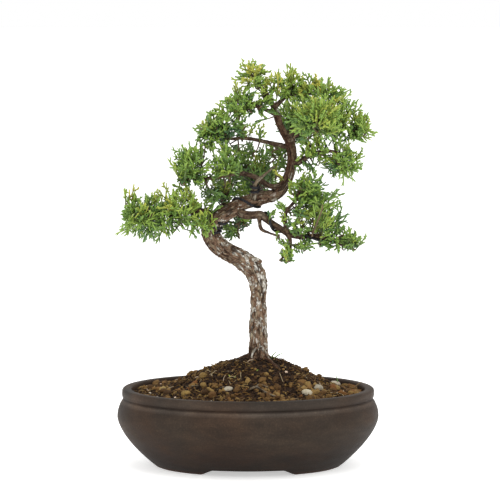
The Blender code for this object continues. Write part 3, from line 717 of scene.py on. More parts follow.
def coil(limb, start, end, turns, phase):
    """Centre line of a training wire, as in the CAD part but pulled snug to the bark."""
    path, radii = stem(TRUNK if limb == "trunk" else LIMBS[limb], 2)
    side, up = frames(path[None])
    count = round(turns * POINTS_PER_TURN)
    share = np.arange(count + 1) / count
    at = (start + (end - start) * share) * (len(path) - 1)
    reach = between(radii[:, None], at) + (COIL_AIR + WIRE_RADIUS) * MM
    across, above = unit(between(side[0], at)), unit(between(up[0], at))
    angle = math.tau * (phase + turns * share)[:, None]
    spoke = across * np.cos(angle) + above * np.sin(angle)
    return smooth(between(path, at) + spoke * reach, 4)


def build_wires(settings):
    """A coil of wire for each limb that is being trained, thinner at its cut ends."""
    # soft aluminium wire, anodised black and scuffed by the pliers: dull with bright spots
    tones = ((0.4, "#17161a"), (0.62, settings.anodising), (0.75, "#4a494e"))
    look = clouded("black anodised wire", 2.5 * MM, tones, 5.0, (0.3, 0.55), 0.6)
    for name, row in WIRES.items():
        path = coil(*row)
        reach = np.full((1, len(path)), WIRE_RADIUS * MM)
        reach[0, (0, -1)] *= 0.8
        rings = sweep(path[None], reach, settings.sides)
        add_piece(f"{name}_coil", tube_mesh(name, rings), look, [name])


# --- Tree: foliage ---

# Tone of each pad, from blue-green at 0.1 to yellow-green at 1.
PADS = {
    "foliage_apex": 0.58,
    "foliage_crown_left": 0.48,
    "foliage_crown_right": 0.56,
    "foliage_crown_front": 0.56,
    "foliage_crown_back": 0.50,
    "foliage_upper_right": 0.52,
    "foliage_mid_right": 0.50,
    "foliage_upper_left": 0.53,
    "foliage_mid_left": 0.50,
    "foliage_centre": 0.44,
    "foliage_back": 0.44,
    "foliage_arm": 0.45,
    "foliage_under_arm": 0.36,
    "foliage_bend": 0.48,
    "foliage_lower_left": 0.54,
    "foliage_rising_shoot": 0.44,
    "foliage_lower_right": 0.46,
    "foliage_hanging": 0.50,
}
# Loose sprays that reach out of the pads, by the pad that they belong to.
LOOSE = {
    "foliage_apex": ((13, 0, 277), (18, -6, 277)),
    "foliage_crown_right": (
        (41, 2, 279), (37, -8, 250), (33, -8, 262), (56, 0, 273), (50, -6, 270)),
    "foliage_crown_left": (
        (2, -4, 236), (13, -6, 239), (-8, -4, 230), (20, -8, 250), (8, -4, 229), (-14, -6, 234),
        (16, -8, 233), (22, -8, 238)),
    "foliage_upper_right": (
        (92, -2, 213), (84, -4, 207), (88, -8, 209), (94, -6, 205), (110, 4, 236),
        (104, 4, 240), (116, 4, 231)),
    "foliage_mid_right": (
        (56, -8, 186), (64, -8, 182), (50, -6, 196), (50, -10, 208), (58, -10, 205), (54, -12, 211),
        (50, -10, 182), (60, -10, 184), (56, -10, 178), (28, -4, 179)),
    "foliage_rising_shoot": (
        (29, -14, 150), (24, -14, 143), (33, -14, 139), (32, -16, 148), (36, -18, 137),
        (76, -12, 166), (84, -12, 158), (80, -12, 150)),
    "foliage_centre": (
        (-38, -4, 152), (-30, -8, 156), (-33, -8, 149), (-28, -10, 147), (-58, -8, 168)),
    "foliage_upper_left": ((4, 2, 225), (12, 2, 222), (-4, 4, 221), (-38, -6, 206)),
    "foliage_lower_left": (
        (-78, -10, 164), (-86, -10, 160), (-70, -10, 166), (-90, -12, 157), (-117, -8, 160),
        (-108, -8, 163), (-84, -16, 119), (-118, -12, 123), (-76, -14, 120)),
    "foliage_lower_right": ((78, -12, 108), (70, -12, 110), (106, -8, 111)),
    "foliage_hanging": ((33, -12, 113), (28, -12, 119)),
}
SIDE_SHOOTS = 5
SHOOT_RINGS = 4
SHOOT_SIDES = 5
TWIG_RINGS = 7
TWIG_SIDES = 6
TRIES = 4000  # spots tried on the outside of a pad
CROWN_START = 18  # the point of the trunk from which twigs grow
LINE_STEPS = 8  # steps from point to point; a limb's first stretch carries no twigs
SIDE_ANGLE = 42  # between a shoot and its side shoots, in degrees
FORK_ANGLE = 40
SHORTEST_SIDE = 4.6 * MM
SHORTEST_FORK = 3.0 * MM
SPRAY_LENGTHS = (11 * MM, 28 * MM)
INNER_SHADE = -0.16  # how much bluer the sprays deep inside a pad are


def fan(sides, width):
    """Small shifts of tone round a shoot or a twig."""
    return (np.arange(sides) / sides - 0.4) * width


def limb_line():
    """Points along every stem, close together, that twigs can grow from."""
    crown = TRUNK[CROWN_START:]
    lines = [stem(points, LINE_STEPS)[0][LINE_STEPS:] for points in LIMBS.values()]
    return np.concatenate([stem(crown, LINE_STEPS)[0], *lines])


def nearest(points, line):
    """For each point the nearest one of the line, and how far it is."""
    gap = np.linalg.norm(points[:, None] - line[None], axis=2)
    best = gap.argmin(axis=1)
    return line[best], gap[np.arange(len(points)), best]


def pad_tips(node, spacing, dice):
    """Spots spread over the outside of a CAD pad, and the way out of the pad at each."""
    corners = cad_triangles(node)
    facing = np.cross(corners[:, 1] - corners[:, 0], corners[:, 2] - corners[:, 0])
    area = np.linalg.norm(facing, axis=1)
    picked = dice.choice(len(corners), TRIES, p=area / area.sum())
    mix = dice.random((TRIES, 2))
    mix = np.where(mix.sum(1, keepdims=True) > 1, 1 - mix, mix)
    edge = corners[picked, 1:] - corners[picked, :1]
    spots = corners[picked, 0] + edge[:, 0] * mix[:, :1] + edge[:, 1] * mix[:, 1:]
    out = unit(facing[picked])
    middle = corners.mean(axis=(0, 1))
    kept = dot(unit(spots - middle), out)[:, 0] > 0.2
    spots, out = spots[kept], out[kept]
    chosen = []
    for i in range(len(spots)):
        if all(np.sum((spots[i] - spots[j]) ** 2) > spacing**2 for j in chosen):
            chosen.append(i)
    return spots[chosen], out[chosen]


def shoot_paths(start, way, bend, length):
    """Slightly curved lines, one for each shoot."""
    t = np.linspace(0, 1, SHOOT_RINGS)[:, None]
    return start[:, None] + way[:, None] * length[:, None, None] * t + bend[:, None] * t**2


def grow_sprays(base, way, length, tone, dice):
    """Forked sprays: a main shoot, side shoots by turns left and right, and forks on them."""
    count = len(base)
    up = np.array((0.0, 0.0, 1.0))
    roll = unit(dice.normal(size=(count, 3)) + up * 0.2)
    across = unit(np.cross(way, roll))
    flat = np.cross(way, across)
    bend = (up * 0.12 + dice.normal(size=(count, 3)) * 0.07) * length[:, None]
    groups = [(base, way, bend, length, np.zeros(count), np.full(count, 0.9), tone)]
    for i in range(SIDE_SHOOTS):
        t = 0.14 + 0.8 * (i + dice.random(count) * 0.7) / SIDE_SHOOTS
        sign = 1 if i % 2 else -1
        angle = np.radians(dice.normal(SIDE_ANGLE, 9, count))[:, None]
        heading = unit(way + bend / length[:, None] * 2 * t[:, None])
        out = heading * np.cos(angle) + sign * across * np.sin(angle)
        out = unit(out + flat * dice.normal(0, 0.28, (count, 1)))
        start = base + way * (length * t)[:, None] + bend * t[:, None] ** 2
        reach = length * (0.66 - 0.36 * t) * dice.uniform(0.65, 1.25, count)
        reach = np.maximum(reach, SHORTEST_SIDE)
        curl = (heading * 0.14 + dice.normal(size=(count, 3)) * 0.05) * reach[:, None]
        groups.append((start, out, curl, reach, t * 0.6, np.full(count, 1.0), tone))
        for k, place in enumerate((0.36, 0.66)):
            turn = np.radians(dice.normal(FORK_ANGLE, 9, count))[:, None]
            fork = (1 if (i + k) % 2 else -1) * unit(across - out * dot(across, out))
            ahead = unit(out + curl / reach[:, None])
            lift = flat * dice.normal(0, 0.25, (count, 1))
            grow = unit(ahead * np.cos(turn) + fork * np.sin(turn) + lift)
            root = start + out * (reach * place)[:, None] + curl * place**2
            size = np.maximum(reach * 0.48 * dice.uniform(0.6, 1.3, count), SHORTEST_FORK)
            groups.append((root, grow, grow * 0, size, 0.3 + t * 0.4, np.full(count, 1.0), tone))
    return [np.concatenate(column) for column in zip(*groups)]


def grow_twigs(base, way, line, dice):
    """Woody twigs that carry the sprays, each from the wood or twig nearest to its foot."""
    _, far = nearest(base, line)
    nodes = line
    paths = []
    for i in np.argsort(far):
        # the nearest wood, and sooner from behind the spray than from beside it
        back = base[i] - nodes
        cost = np.linalg.norm(back, axis=1) - 0.35 * back @ way[i]
        source = nodes[cost.argmin()]
        span = np.linalg.norm(base[i] - source)
        t = np.linspace(0, 1, TWIG_RINGS)[:, None]
        knee = base[i] - way[i] * min(span * 0.4, 7 * MM) + dice.normal(size=3) * span * 0.05
        path = source * (1 - t) ** 2 + knee * 2 * t * (1 - t) + base[i] * t**2
        paths.append(path)
        nodes = np.concatenate((nodes, path[2:]))
    return np.array(paths)


def build_pad(name, tone, settings, seed, line):
    """All the sprays and twigs of one pad, as one piece."""
    dice = np.random.default_rng(seed)
    tips, out = pad_tips(name, settings.spacing * MM, dice)
    # thin spots, and tips that stand out or fall short
    full = wave(tips / (13 * MM), 9) > -0.5
    tips, out = tips[full], out[full]
    tips = tips + out * dice.uniform(-5.5, 1.5, (len(tips), 1)) * MM
    if name in LOOSE:
        extra = np.array(LOOSE[name]) * MM + trunk_foot() - (TRUNK_X * MM, 0, 0)
        wood, _ = nearest(extra, line)
        tips = np.concatenate((tips, extra))
        out = np.concatenate((out, unit(extra - wood)))
    # second sprays deeper inside, in the shade of the first
    wood, _ = nearest(tips, line)
    inner = dice.random(len(tips)) < settings.inner
    deep = wood[inner] + (tips[inner] - wood[inner]) * dice.uniform(0.45, 0.75, (inner.sum(), 1))
    tips = np.concatenate((tips, deep))
    out = np.concatenate((out, out[inner]))
    shade = np.concatenate((np.zeros(len(inner)), np.full(inner.sum(), INNER_SHADE)))
    # every spray leans out of the pad, away from the wood and a little up
    wood, far = nearest(tips, line)
    sway = dice.normal(size=tips.shape) * 0.3
    way = unit(out * 0.5 + unit(tips - wood) * 0.6 + (0, 0, 0.34) + sway)
    length = np.clip(far * dice.uniform(0.8, 1.1, len(tips)), *SPRAY_LENGTHS)
    base = tips - way * length[:, None] * 0.93
    drift = wave(tips / (16 * MM), 5) * 0.13 + dice.normal(0, 0.08, len(tips))
    tones = np.clip(tone + shade + drift + out[:, 2] * 0.10, 0.16, 0.97)
    start, heading, bend, reach, low, high, hue = grow_sprays(base, way, length, tones, dice)
    girth = settings.girth / 2 * MM * dice.uniform(0.85, 1.15, len(start))
    radii = girth[:, None] * np.array((0.75, 1.0, 1.0, 0.6))
    shoots = sweep(shoot_paths(start, heading, bend, reach), radii, SHOOT_SIDES)
    twig_paths = grow_twigs(base, way, line, dice)
    radii = np.linspace(0.85, 0.55, TWIG_RINGS) * MM * dice.uniform(0.8, 1.1, (len(base), 1))
    twigs = sweep(twig_paths, radii, TWIG_SIDES)
    parts = [(rings, skin_faces(rings.shape[:3])) for rings in (shoots, twigs)]
    mesh = new_mesh(name, *join(parts))
    rise = np.linspace(0, 1, SHOOT_RINGS)
    shoot_v = low[:, None] + (high - low)[:, None] * rise
    shoot_u = (hue[:, None] + dice.normal(0, 0.05, (len(hue), 1)))[..., None]
    twig_u = 0.02 + 0.06 * dice.random((len(base), 1, 1))
    twig_v = np.linspace(0, 1, TWIG_RINGS)[None, :, None]
    places = (
        pairs(shoot_u + fan(SHOOT_SIDES, 0.02), shoot_v[..., None]),
        pairs(twig_u + fan(TWIG_SIDES, 0.015), twig_v),
    )
    set_uv(mesh, np.clip(np.concatenate(places), 0.001, 0.999))
    add_piece(f"{name}_sprays", mesh, made(scale_leaves), [name])


def build_foliage(settings):
    """A piece of sprays for each pad."""
    line = limb_line()
    for seed, (name, tone) in enumerate(PADS.items()):
        build_pad(name, tone, settings, 100 + seed, line)


# --- Pot ---

BELLY = 49.0  # height of the widest line
NECK = 66.5
RIM_INSET = 4.5
RIM_WIDTH = 9.0
FOOT_INSET = 37.5
FOOT_WIDTH = 13.0
FOOT_HEIGHT = 6.0
FLOOR_TOP = 13.0
WALL = 8.0
NECK_INSET = 6.3
FRONT_GAP = 89.0
END_GAP = 34.0
FOOT_SLOPE = 9.0
DRAIN_HOLE = 20.0
DRAIN_SPACING = 112.0
UNDER_ROWS = 20  # rows of the profile, from the middle of the underside, that the feet can reach


def wall_inset(height):
    """How far the outside stands in from the widest line, at that height."""
    lower = FOOT_INSET * (np.clip(BELLY - height, 0, None) / BELLY) ** 1.6
    upper = NECK_INSET * (np.clip(height - BELLY, 0, None) / (NECK - BELLY)) ** 2.2
    return lower + upper


def pot_profile(top):
    """(inset, height) in millimetres from the middle of the underside to the inner floor."""
    foot = FOOT_INSET + FOOT_WIDTH
    inner = RIM_INSET + RIM_WIDTH
    outside = (*np.linspace(0.9, FOOT_HEIGHT, 7), *np.linspace(7.5, NECK - 1.2, 42))
    inside = np.linspace(NECK, FLOOR_TOP + 3, 12)
    return np.array((
        # underside and foot
        (foot + 24, FOOT_HEIGHT), (foot + 8, FOOT_HEIGHT), (foot + 3, FOOT_HEIGHT - 0.4),
        (foot + 0.8, 1.2), (foot, 0.3), (foot - 1, 0),
        (FOOT_INSET + 1.2, 0), (FOOT_INSET + 0.3, 0.3),
        *((wall_inset(z), z) for z in outside),
        # neck and band of the rim
        (NECK_INSET + 0.25, NECK - 0.5), (NECK_INSET + 0.1, NECK + 0.1),
        (RIM_INSET + 0.9, NECK + 0.6), (RIM_INSET + 0.2, NECK + 1.5), (RIM_INSET, NECK + 2.6),
        (RIM_INSET, NECK + 4.6), (RIM_INSET + 0.1, top - 2.2), (RIM_INSET + 0.6, top - 1.1),
        (RIM_INSET + 1.6, top - 0.25), (RIM_INSET + 3, top),
        (inner - 2, top), (inner - 0.8, top - 0.3), (inner - 0.1, top - 1.1), (inner, top - 2.5),
        *((wall_inset(z) + WALL, z) for z in inside),
        (wall_inset(FLOOR_TOP) + WALL + 6, FLOOR_TOP), (70, FLOOR_TOP),
    ), float)


def foot_gap(u, width):
    """Height of the cut between two feet at a distance u from its middle."""
    return np.clip((width / 2 - np.abs(u)) / (FOOT_SLOPE * 7 / 6 / FOOT_HEIGHT), 0, FOOT_HEIGHT)


def drill(piece, spots):
    """Cut the drainage holes clean through the floor."""
    for x in spots:
        bpy.ops.mesh.primitive_cylinder_add(
            vertices=48, radius=DRAIN_HOLE / 2 * MM, depth=30 * MM, location=(x, 0, 8 * MM))
        cutter = bpy.context.object
        step = piece.modifiers.new("drain", "BOOLEAN")
        step.operation = "DIFFERENCE"
        step.solver = "EXACT"
        step.object = cutter
        drilled = piece.evaluated_get(bpy.context.evaluated_depsgraph_get())
        shape = bpy.data.meshes.new_from_object(drilled)
        piece.modifiers.clear()
        piece.data = shape
        bpy.data.objects.remove(cutter, do_unlink=True)


def build_pot(settings):
    """The oval bowl on four feet, with two drainage holes."""
    low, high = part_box("pot")
    half = (high - low) / 2 / MM
    profile = pot_profile(high.z / MM)
    angle = math.tau * np.arange(settings.sides) / settings.sides
    inset, height = profile[:, :1], profile[:, 1:]
    x = (half.x - inset) * np.cos(angle)
    y = (half.y - inset) * np.sin(angle)
    z = height + 0 * x
    gap = np.maximum(foot_gap(x, FRONT_GAP), foot_gap(y, END_GAP))
    under = np.arange(len(profile))[:, None] < UNDER_ROWS
    z = np.where(under & (height < FOOT_HEIGHT), np.maximum(z, gap), z)
    place = xyz(x, y, z)
    # soft dents and faint finger ridges from the wiping
    dent = rough(place / (60, 60, 22), 2, 31) * 0.45 + rough(place / (24, 24, 2.6), 2, 37) * 0.10
    dent = dent * np.clip((height - 2) / 12, 0, 1) * (height > FOOT_HEIGHT)
    away = xyz(np.cos(angle), np.sin(angle))
    place = place + away[None] * dent[..., None] * settings.wobble
    mesh = tube_mesh("pot", (place * MM)[None])
    piece = add_piece("pot_clay", mesh, unglazed_clay(settings.clay), ["pot"])
    drill(piece, (-DRAIN_SPACING / 2 * MM, DRAIN_SPACING / 2 * MM))


# --- Soil ---

SOIL_DROP = 5.5  # edge of the soil below the top of the rim


def soil_oval():
    """Half length and half width of the soil, in metres."""
    low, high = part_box("pot")
    half = (high - low) / 2
    inset = (RIM_INSET + RIM_WIDTH - 0.3) * MM
    return half.x - inset, half.y - inset


def mound_share(x, y):
    """0 at the trunk and 1 at the edge of the soil, along a straight line."""
    a, b = soil_oval()
    centre = trunk_foot()[0]
    dx = x - centre
    qa = np.maximum((dx / a) ** 2 + (y / b) ** 2, 1e-9)
    qb = 2 * centre * dx / a**2
    qc = (centre / a) ** 2 - 1
    reach = (-qb + np.sqrt(qb * qb - 4 * qa * qc)) / (2 * qa)
    return np.minimum(1.0, 1 / reach)


def soil_height(x, y):
    """Height of the lumpy mound: the trunk's foot in the middle, low under the rim."""
    share = mound_share(x, y)
    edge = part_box("pot")[1].z - SOIL_DROP * MM
    rise = trunk_foot()[2] - edge
    lumps = rough(xyz(x, y) / (11 * MM), 3, 61) * 1.3 * MM
    lumps = lumps * np.sin(math.pi * np.clip(share, 0.03, 0.97))
    return edge + rise * np.cos(math.pi * share / 2) ** 2 + lumps


def on_soil(share, angle):
    """The place in that direction, at a share of the way from the trunk to the edge."""
    a, b = soil_oval()
    centre = trunk_foot()[0]
    return centre + (a * np.cos(angle) - centre) * share, b * np.sin(angle) * share


def soil_spots(count, dice, low=0.06, high=0.985, lean=0.5, clump=0.0):
    """Random places on the soil, as shares of the way from the trunk to the edge.

    With clump above 0 they gather in some spots; below 0 they leave those spots out.
    """
    share = low + (high - low) * dice.random(count * 3) ** lean
    x, y = on_soil(share, math.tau * dice.random(count * 3))
    gathered = wave(xyz(x, y) / (17 * MM), 83) * clump
    best = np.argsort(dice.random(count * 3) * 0.7 - gathered)[:count]
    return x[best], y[best], share[best]


def ball(detail):
    """Points and faces of a round ball."""
    bpy.ops.mesh.primitive_ico_sphere_add(subdivisions=detail, radius=1)
    maker = bpy.context.object
    points = np.array([v.co[:] for v in maker.data.vertices])
    faces = np.array([p.vertices[:] for p in maker.data.polygons])
    bpy.data.objects.remove(maker, do_unlink=True)
    return points, faces


def random_turns(count, dice, flat):
    """Random rotations; flat near 1 keeps the third axis nearly upright."""
    third = unit(dice.normal(size=(count, 3)) * (1 - flat) + np.array((0, 0, flat)) * 2)
    first = unit(np.cross(third, dice.normal(size=(count, 3))))
    return np.stack((first, np.cross(third, first), third), axis=1)


def scatter(name, look, spots, sizes, tones, dice, detail, lumpy, sink, flat):
    """Loose lumps lying on the soil, all in one piece."""
    x, y = spots[:2]
    points, faces = ball(detail)
    bumps = 1.0
    for fine, depth, seed in ((1.3, lumpy, 71), (2.9, 0.5 * lumpy, 73)):
        apart = dice.random((len(x), 1, 3)) * APART
        bumps = bumps + depth * wave(points[None] * fine + apart, seed)
    shaped = points[None] * bumps[..., None] * sizes[:, None]
    turned = np.einsum("nvk,nkj->nvj", shaped, random_turns(len(x), dice, flat))
    placed = turned + xyz(x, y, soil_height(x, y) + sizes[:, 2] * sink)[:, None]
    every = copied_faces(faces, len(x), len(points))
    mesh = new_mesh(name, placed.reshape(-1, 3), [every])
    set_values(mesh, "tone", np.repeat(tones, len(points)))
    add_piece(name, mesh, made(broken_bits, *look))


def build_soil(settings):
    """The mound, with its edge tucked under the rim."""
    share = (*np.linspace(0.012, 0.9, settings.rings), *np.linspace(0.92, 1.0, 8))
    share = np.array(share)[::-1, None]
    x, y = on_soil(share, math.tau * np.arange(settings.sides) / settings.sides)
    z = soil_height(x, y)
    z = z + rough(xyz(x, y, z) / (3.2 * MM), 4, 67) * 1.0 * MM * (share < 0.99)
    # a closed underside, out of sight in the pot
    bottom = np.full((2, settings.sides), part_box("soil")[0].z + 2 * MM)
    bottom[1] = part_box("pot")[1].z - 12 * MM
    x = np.concatenate((x[:1] * 0.62, x[:1] * 0.97, x))
    y = np.concatenate((y[:1] * 0.62, y[:1] * 0.97, y))
    mesh = tube_mesh("soil", xyz(x, y, np.concatenate((bottom, z)))[None])
    add_piece("soil_mound", mesh, made(dark_peat), ["soil"])


FIBRE_RINGS = 7
FIBRE_SIDES = 5
# Each look: name, tones, size of its mottle.
GRIT = (
    "fired clay grit",
    ((0.0, "#3f2b18"), (0.3, "#624626"), (0.6, "#806137"), (0.85, "#9a7d4a"), (1.0, "#7d5029")),
    1.5 * MM)
PEAT_CRUMBS = (
    "peat crumbs",
    ((0.0, "#1d140d"), (0.5, "#39281b"), (0.8, "#5b4229"), (1.0, "#7d6238")), 1.2 * MM)
CHIPS = (
    "bark chips",
    ((0.0, "#4a3019"), (0.5, "#7a5a32"), (0.8, "#94743f"), (1.0, "#a88d58")), 1.2 * MM)
PUMICE = (
    "pumice and perlite bits",
    ((0.0, "#c9bfae"), (0.5, "#d8cfc2"), (0.8, "#dcc3b4"), (1.0, "#eae6dd")), 1.2 * MM)
FIBRES = (
    "root fibres and litter",
    ((0.0, "#2e2014"), (0.4, "#5a3f24"), (0.75, "#80602f"), (0.93, "#a88f64"), (1.0, "#cfc2a6")),
    1.0 * MM)


def build_grit(settings):
    """Clay grit, pumice, peat crumbs and bark chips over the mound."""
    dice = np.random.default_rng(7)
    coarse = ("coarse_grit", settings.stones // 4, 2.5, 4.5, 0.36)
    fine = ("fine_grit", settings.stones, 1.1, 2.4, 0.42)
    for name, count, least, most, lean in (coarse, fine):
        spots = soil_spots(count, dice, 0.2, 0.965, lean, 0.8)
        half = dice.uniform(least, most, (count, 1)) * MM
        shape = xyz(1.15, dice.uniform(0.7, 1.0, count), dice.uniform(0.45, 0.75, count))
        tones = dice.random(count) ** 0.8
        scatter(name, GRIT, spots, half * shape, tones, dice, 2, 0.4, 0.3, 0.4)
    count = settings.stones // 36
    spots = soil_spots(count, dice, 0.2, 0.97, 0.5)
    size = dice.uniform(1.0, 2.0, (count, 1)) * MM * (1.1, 0.9, 0.7)
    scatter("pumice_bits", PUMICE, spots, size, dice.random(count), dice, 2, 0.3, 0.6, 0.3)
    count = settings.crumbs
    spots = soil_spots(count, dice, 0.05, 0.985, 0.6)
    size = dice.uniform(0.6, 1.7, (count, 3)) * MM
    tones = dice.random(count) * (0.4 + 0.6 * spots[2])
    scatter("peat_crumbs", PEAT_CRUMBS, spots, size, tones, dice, 1, 0.5, 0.4, 0.0)
    count = settings.crumbs // 4
    spots = soil_spots(count, dice, 0.07, 0.98, 0.55, -0.5)
    size = [dice.uniform(low, high, count) for low, high in ((1.8, 4.2), (0.8, 1.8), (0.3, 0.7))]
    scatter("bark_chips", CHIPS, spots, xyz(*size) * MM, dice.random(count), dice, 1, 0.45, 1.2, 0.6)


def build_fibres(settings):
    """Root hairs, needles and twigs lying on the mound."""
    dice = np.random.default_rng(11)
    count = settings.fibres
    x, y, _ = soil_spots(count, dice, 0.08, 0.95, 0.6, -0.7)
    heading = math.tau * dice.random((count, 1))
    reach = dice.uniform(5, 14, (count, 1)) * MM
    t = np.linspace(-0.5, 0.5, FIBRE_RINGS)
    along = reach * t
    aside = reach * dice.normal(0, 0.35, (count, 1)) * t**2
    x = x[:, None] + np.cos(heading) * along - np.sin(heading) * aside
    y = y[:, None] + np.sin(heading) * along + np.cos(heading) * aside
    lift = dice.uniform(0.6, 1.8, (count, 1)) * MM * (1 - 2.2 * t**2)
    lift = lift + dice.uniform(-0.3, 1.4, (count, 1)) * MM * (t + 0.5)
    girth = dice.uniform(0.18, 0.45, (count, 1)) * MM * (0.5, 0.9, 1, 1, 1, 0.9, 0.4)
    mesh = tube_mesh("fibres", sweep(xyz(x, y, soil_height(x, y) + lift), girth, FIBRE_SIDES))
    set_values(mesh, "tone", np.repeat(dice.random(count), FIBRE_RINGS * FIBRE_SIDES))
    add_piece("soil_fibres", mesh, made(broken_bits, *FIBRES))


# Twigs lying on the mound: (x, y, radius) from the pot's middle.
LITTER = (
    ((1, -58, 0.9), (7, -55, 1.2), (14, -58, 1.1), (20, -61, 0.9), (27, -64, 0.6)),
    ((7, -55, 0.7), (11, -50, 0.8), (19, -52, 0.6)),
    ((-30, -52, 0.5), (-24, -49, 0.7), (-17, -52, 0.5)),
    ((48, -40, 0.4), (55, -44, 0.6), (60, -50, 0.4)),
    ((-60, -30, 0.4), (-52, -36, 0.6), (-47, -38, 0.4)),
)
# Sprouts of moss and weed: x, y, lean to the right, height, tone.
SPROUTS = (
    (21, -4, 0.5, 11, 0.4), (23, -3, 0.9, 9, 0.35), (20, -5, -0.3, 9, 0.5),
    (-16, -36, -0.4, 5, 0.75), (-14, -37, 0.5, 4, 0.7), (8, -30, 0.4, 3, 0.6),
    (88, 8, -0.1, 15, 0.3), (100, 6, 0.7, 12, 0.08),
)


def build_litter():
    """Twigs and small green sprouts on the mound."""
    foot = trunk_foot()[2]
    parts = []
    for index, twig in enumerate(LITTER):
        rows = [(x, y, (soil_height(x * MM, y * MM) - foot) / MM + r + 1.2, r) for x, y, r in twig]
        parts.append(bark_tube(rows, 8, 10, 80 + index, 0.2 * MM))
    stem_piece("litter_twigs", parts, made(juniper_bark, *GREY_WOOD), [])
    x, y, lean, tall, tone = np.array(SPROUTS, float).T
    start = xyz(x * MM, y * MM, soil_height(x * MM, y * MM) - 1 * MM)
    way = xyz(lean, 0.0, 1.0)
    paths = shoot_paths(start, way, way * (0.25, 0, -0.2) * tall[:, None] * MM, tall * MM)
    radii = np.full((len(x), 1), 0.55) * MM * (0.8, 1.0, 1.0, 0.5)
    mesh = tube_mesh("sprouts", sweep(paths, radii, SHOOT_SIDES))
    rise = np.linspace(0.3, 1, SHOOT_RINGS)[None, :, None]
    set_uv(mesh, pairs(tone[:, None, None] + fan(SHOOT_SIDES, 0.02), rise))
    add_piece("green_sprouts", mesh, made(scale_leaves))


PEBBLE_LOOKS = {
    "pale": ("pale pebble", ((0.0, "#a89f8b"), (0.5, "#c4bda9"), (1.0, "#d6d0c0")), 2.0 * MM, 0.7),
    "tan": ("tan pebble", ((0.0, "#7d6238"), (0.5, "#9c8049"), (1.0, "#b0965c")), 2.0 * MM, 0.8),
    "brown": ("brown pebble", ((0.0, "#4c341e"), (0.5, "#6b4c2b"), (1.0, "#876539")), 2.0 * MM, 0.8),
}
PEBBLES = {
    "pale": ("pebble_01", "pebble_02", "pebble_03", "pebble_12"),
    "tan": ("pebble_04", "pebble_05", "pebble_06", "pebble_09", "pebble_11"),
    "brown": ("pebble_07", "pebble_08", "pebble_10"),
}


def build_pebbles(settings):
    """Each CAD pebble again, finer and worn, in its own place."""
    points, faces = ball(settings.detail)
    for kind, nodes in PEBBLES.items():
        for node in nodes:
            corners = cad_triangles(node).reshape(-1, 3)
            middle = (corners.max(0) + corners.min(0)) / 2
            axes = np.linalg.svd(corners - middle, full_matrices=False)[2]
            half = np.abs((corners - middle) @ axes.T).max(0) * 0.97
            seed = int(node[-2:])
            bumps = 1 + 0.10 * wave(points * 1.7 + seed * 9, seed)
            bumps = bumps + 0.05 * rough(points * 4 + seed, 3, seed)
            shape = np.sign(points) * np.abs(points) ** 0.85 * bumps[:, None] * half
            mesh = new_mesh(node, shape @ axes + middle, [faces])
            set_values(mesh, "tone", np.full(len(points), (seed * 0.37) % 1))
            look = made(broken_bits, *PEBBLE_LOOKS[kind])
            add_piece(f"{node}_stone", mesh, look, [node])


def build_screens():
    """The screens and staples under the soil keep their CAD shape."""
    for name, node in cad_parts.items():
        if name.startswith(("drainage_screen", "screen_wire")):
            look = made(clouded, *(SCREEN if name.startswith("drainage") else STAPLE_WIRE))
            node.data.materials.clear()
            node.data.materials.append(look)


# --- Stage ---


def add_light(name, spot, aim, size, power):
    """A square soft box that faces a point."""
    lamp = bpy.data.lights.new(name, "AREA")
    lamp.size = size
    lamp.energy = power
    holder = new_object(name, lamp)
    holder.location = spot
    holder.rotation_euler = (Vector(aim) - Vector(spot)).to_track_quat("-Z", "Y").to_euler()
    return holder


def pale_floor():
    """Opal acrylic light table, which keeps shadows faint."""
    material, shader, add = new_material("opal acrylic light table")
    cloud = add("TexNoise", blotches(add("TexCoord", {}, "Object"), 60 * MM))
    body = add("ValToRGB", {"Fac": cloud}, stops=((0.4, "#f3f3f2"), (0.6, "#f6f6f5")))
    connect(shader, {
        "Base Color": body, "Roughness": 0.95, "Emission Color": body, "Emission Strength": 0.55})
    return material


FLOOR_RADIUS = 40.0
FLOOR_CORNERS = 96
AIM = Vector((1.9 * MM, 0, 209.9 * MM))  # the point that the lights and the camera face
FILM_WIDTH = 36  # in millimetres


def build_stage(settings):
    """Floor, soft boxes, white room and camera."""
    angle = np.linspace(0, math.tau, FLOOR_CORNERS + 1)[:-1]
    edge = xyz(np.cos(angle) * FLOOR_RADIUS, np.sin(angle) * FLOOR_RADIUS, CAD_BOX[0].z)
    mesh = new_mesh("floor", edge, [np.arange(FLOOR_CORNERS)[None]])
    mesh.materials.append(pale_floor())
    floor = new_object("floor", mesh)
    lights = [
        add_light("overhead soft box", (0.3, -0.5, 2.0), AIM, 1.8, settings.overhead),
        add_light("right soft box", (1.7, -1.2, 0.9), AIM, 1.2, settings.key),
        add_light("left soft box", (-1.7, -1.0, 0.8), AIM, 1.2, settings.fill),
    ]
    scene = bpy.context.scene
    scene.world = bpy.data.worlds.new("studio")
    scene.world.use_nodes = True
    sky = scene.world.node_tree.nodes["Background"]
    connect(sky, {"Color": settings.room, "Strength": settings.sky})
    scene.view_settings.view_transform = "Standard"
    lens = bpy.data.cameras.new("camera")
    lens.sensor_width = FILM_WIDTH
    lens.lens = settings.lens
    camera = new_object("camera", lens)
    rise = math.radians(settings.elevation)
    back = Vector((0, -math.cos(rise), math.sin(rise))) * settings.distance
    camera.location = AIM + back
    camera.rotation_euler = (-back).to_track_quat("-Z", "Y").to_euler()
    scene.camera = camera


# --- Settings, operators and panel ---


class StemSettings(bpy.types.PropertyGroup):
    """How finely the trunk and the branches are modelled."""

    sides: IntProperty(
        name="Points round the stem", description="Points round the trunk; a branch has a third",
        default=104, min=24)
    steps: IntProperty(
        name="Steps between points",
        description="Rings between two drawn points of the trunk; a branch has half",
        default=16, min=4)
    flakes: IntProperty(
        name="Flakes", description="Number of loose flakes of old bark on the trunk",
        default=420, min=0)


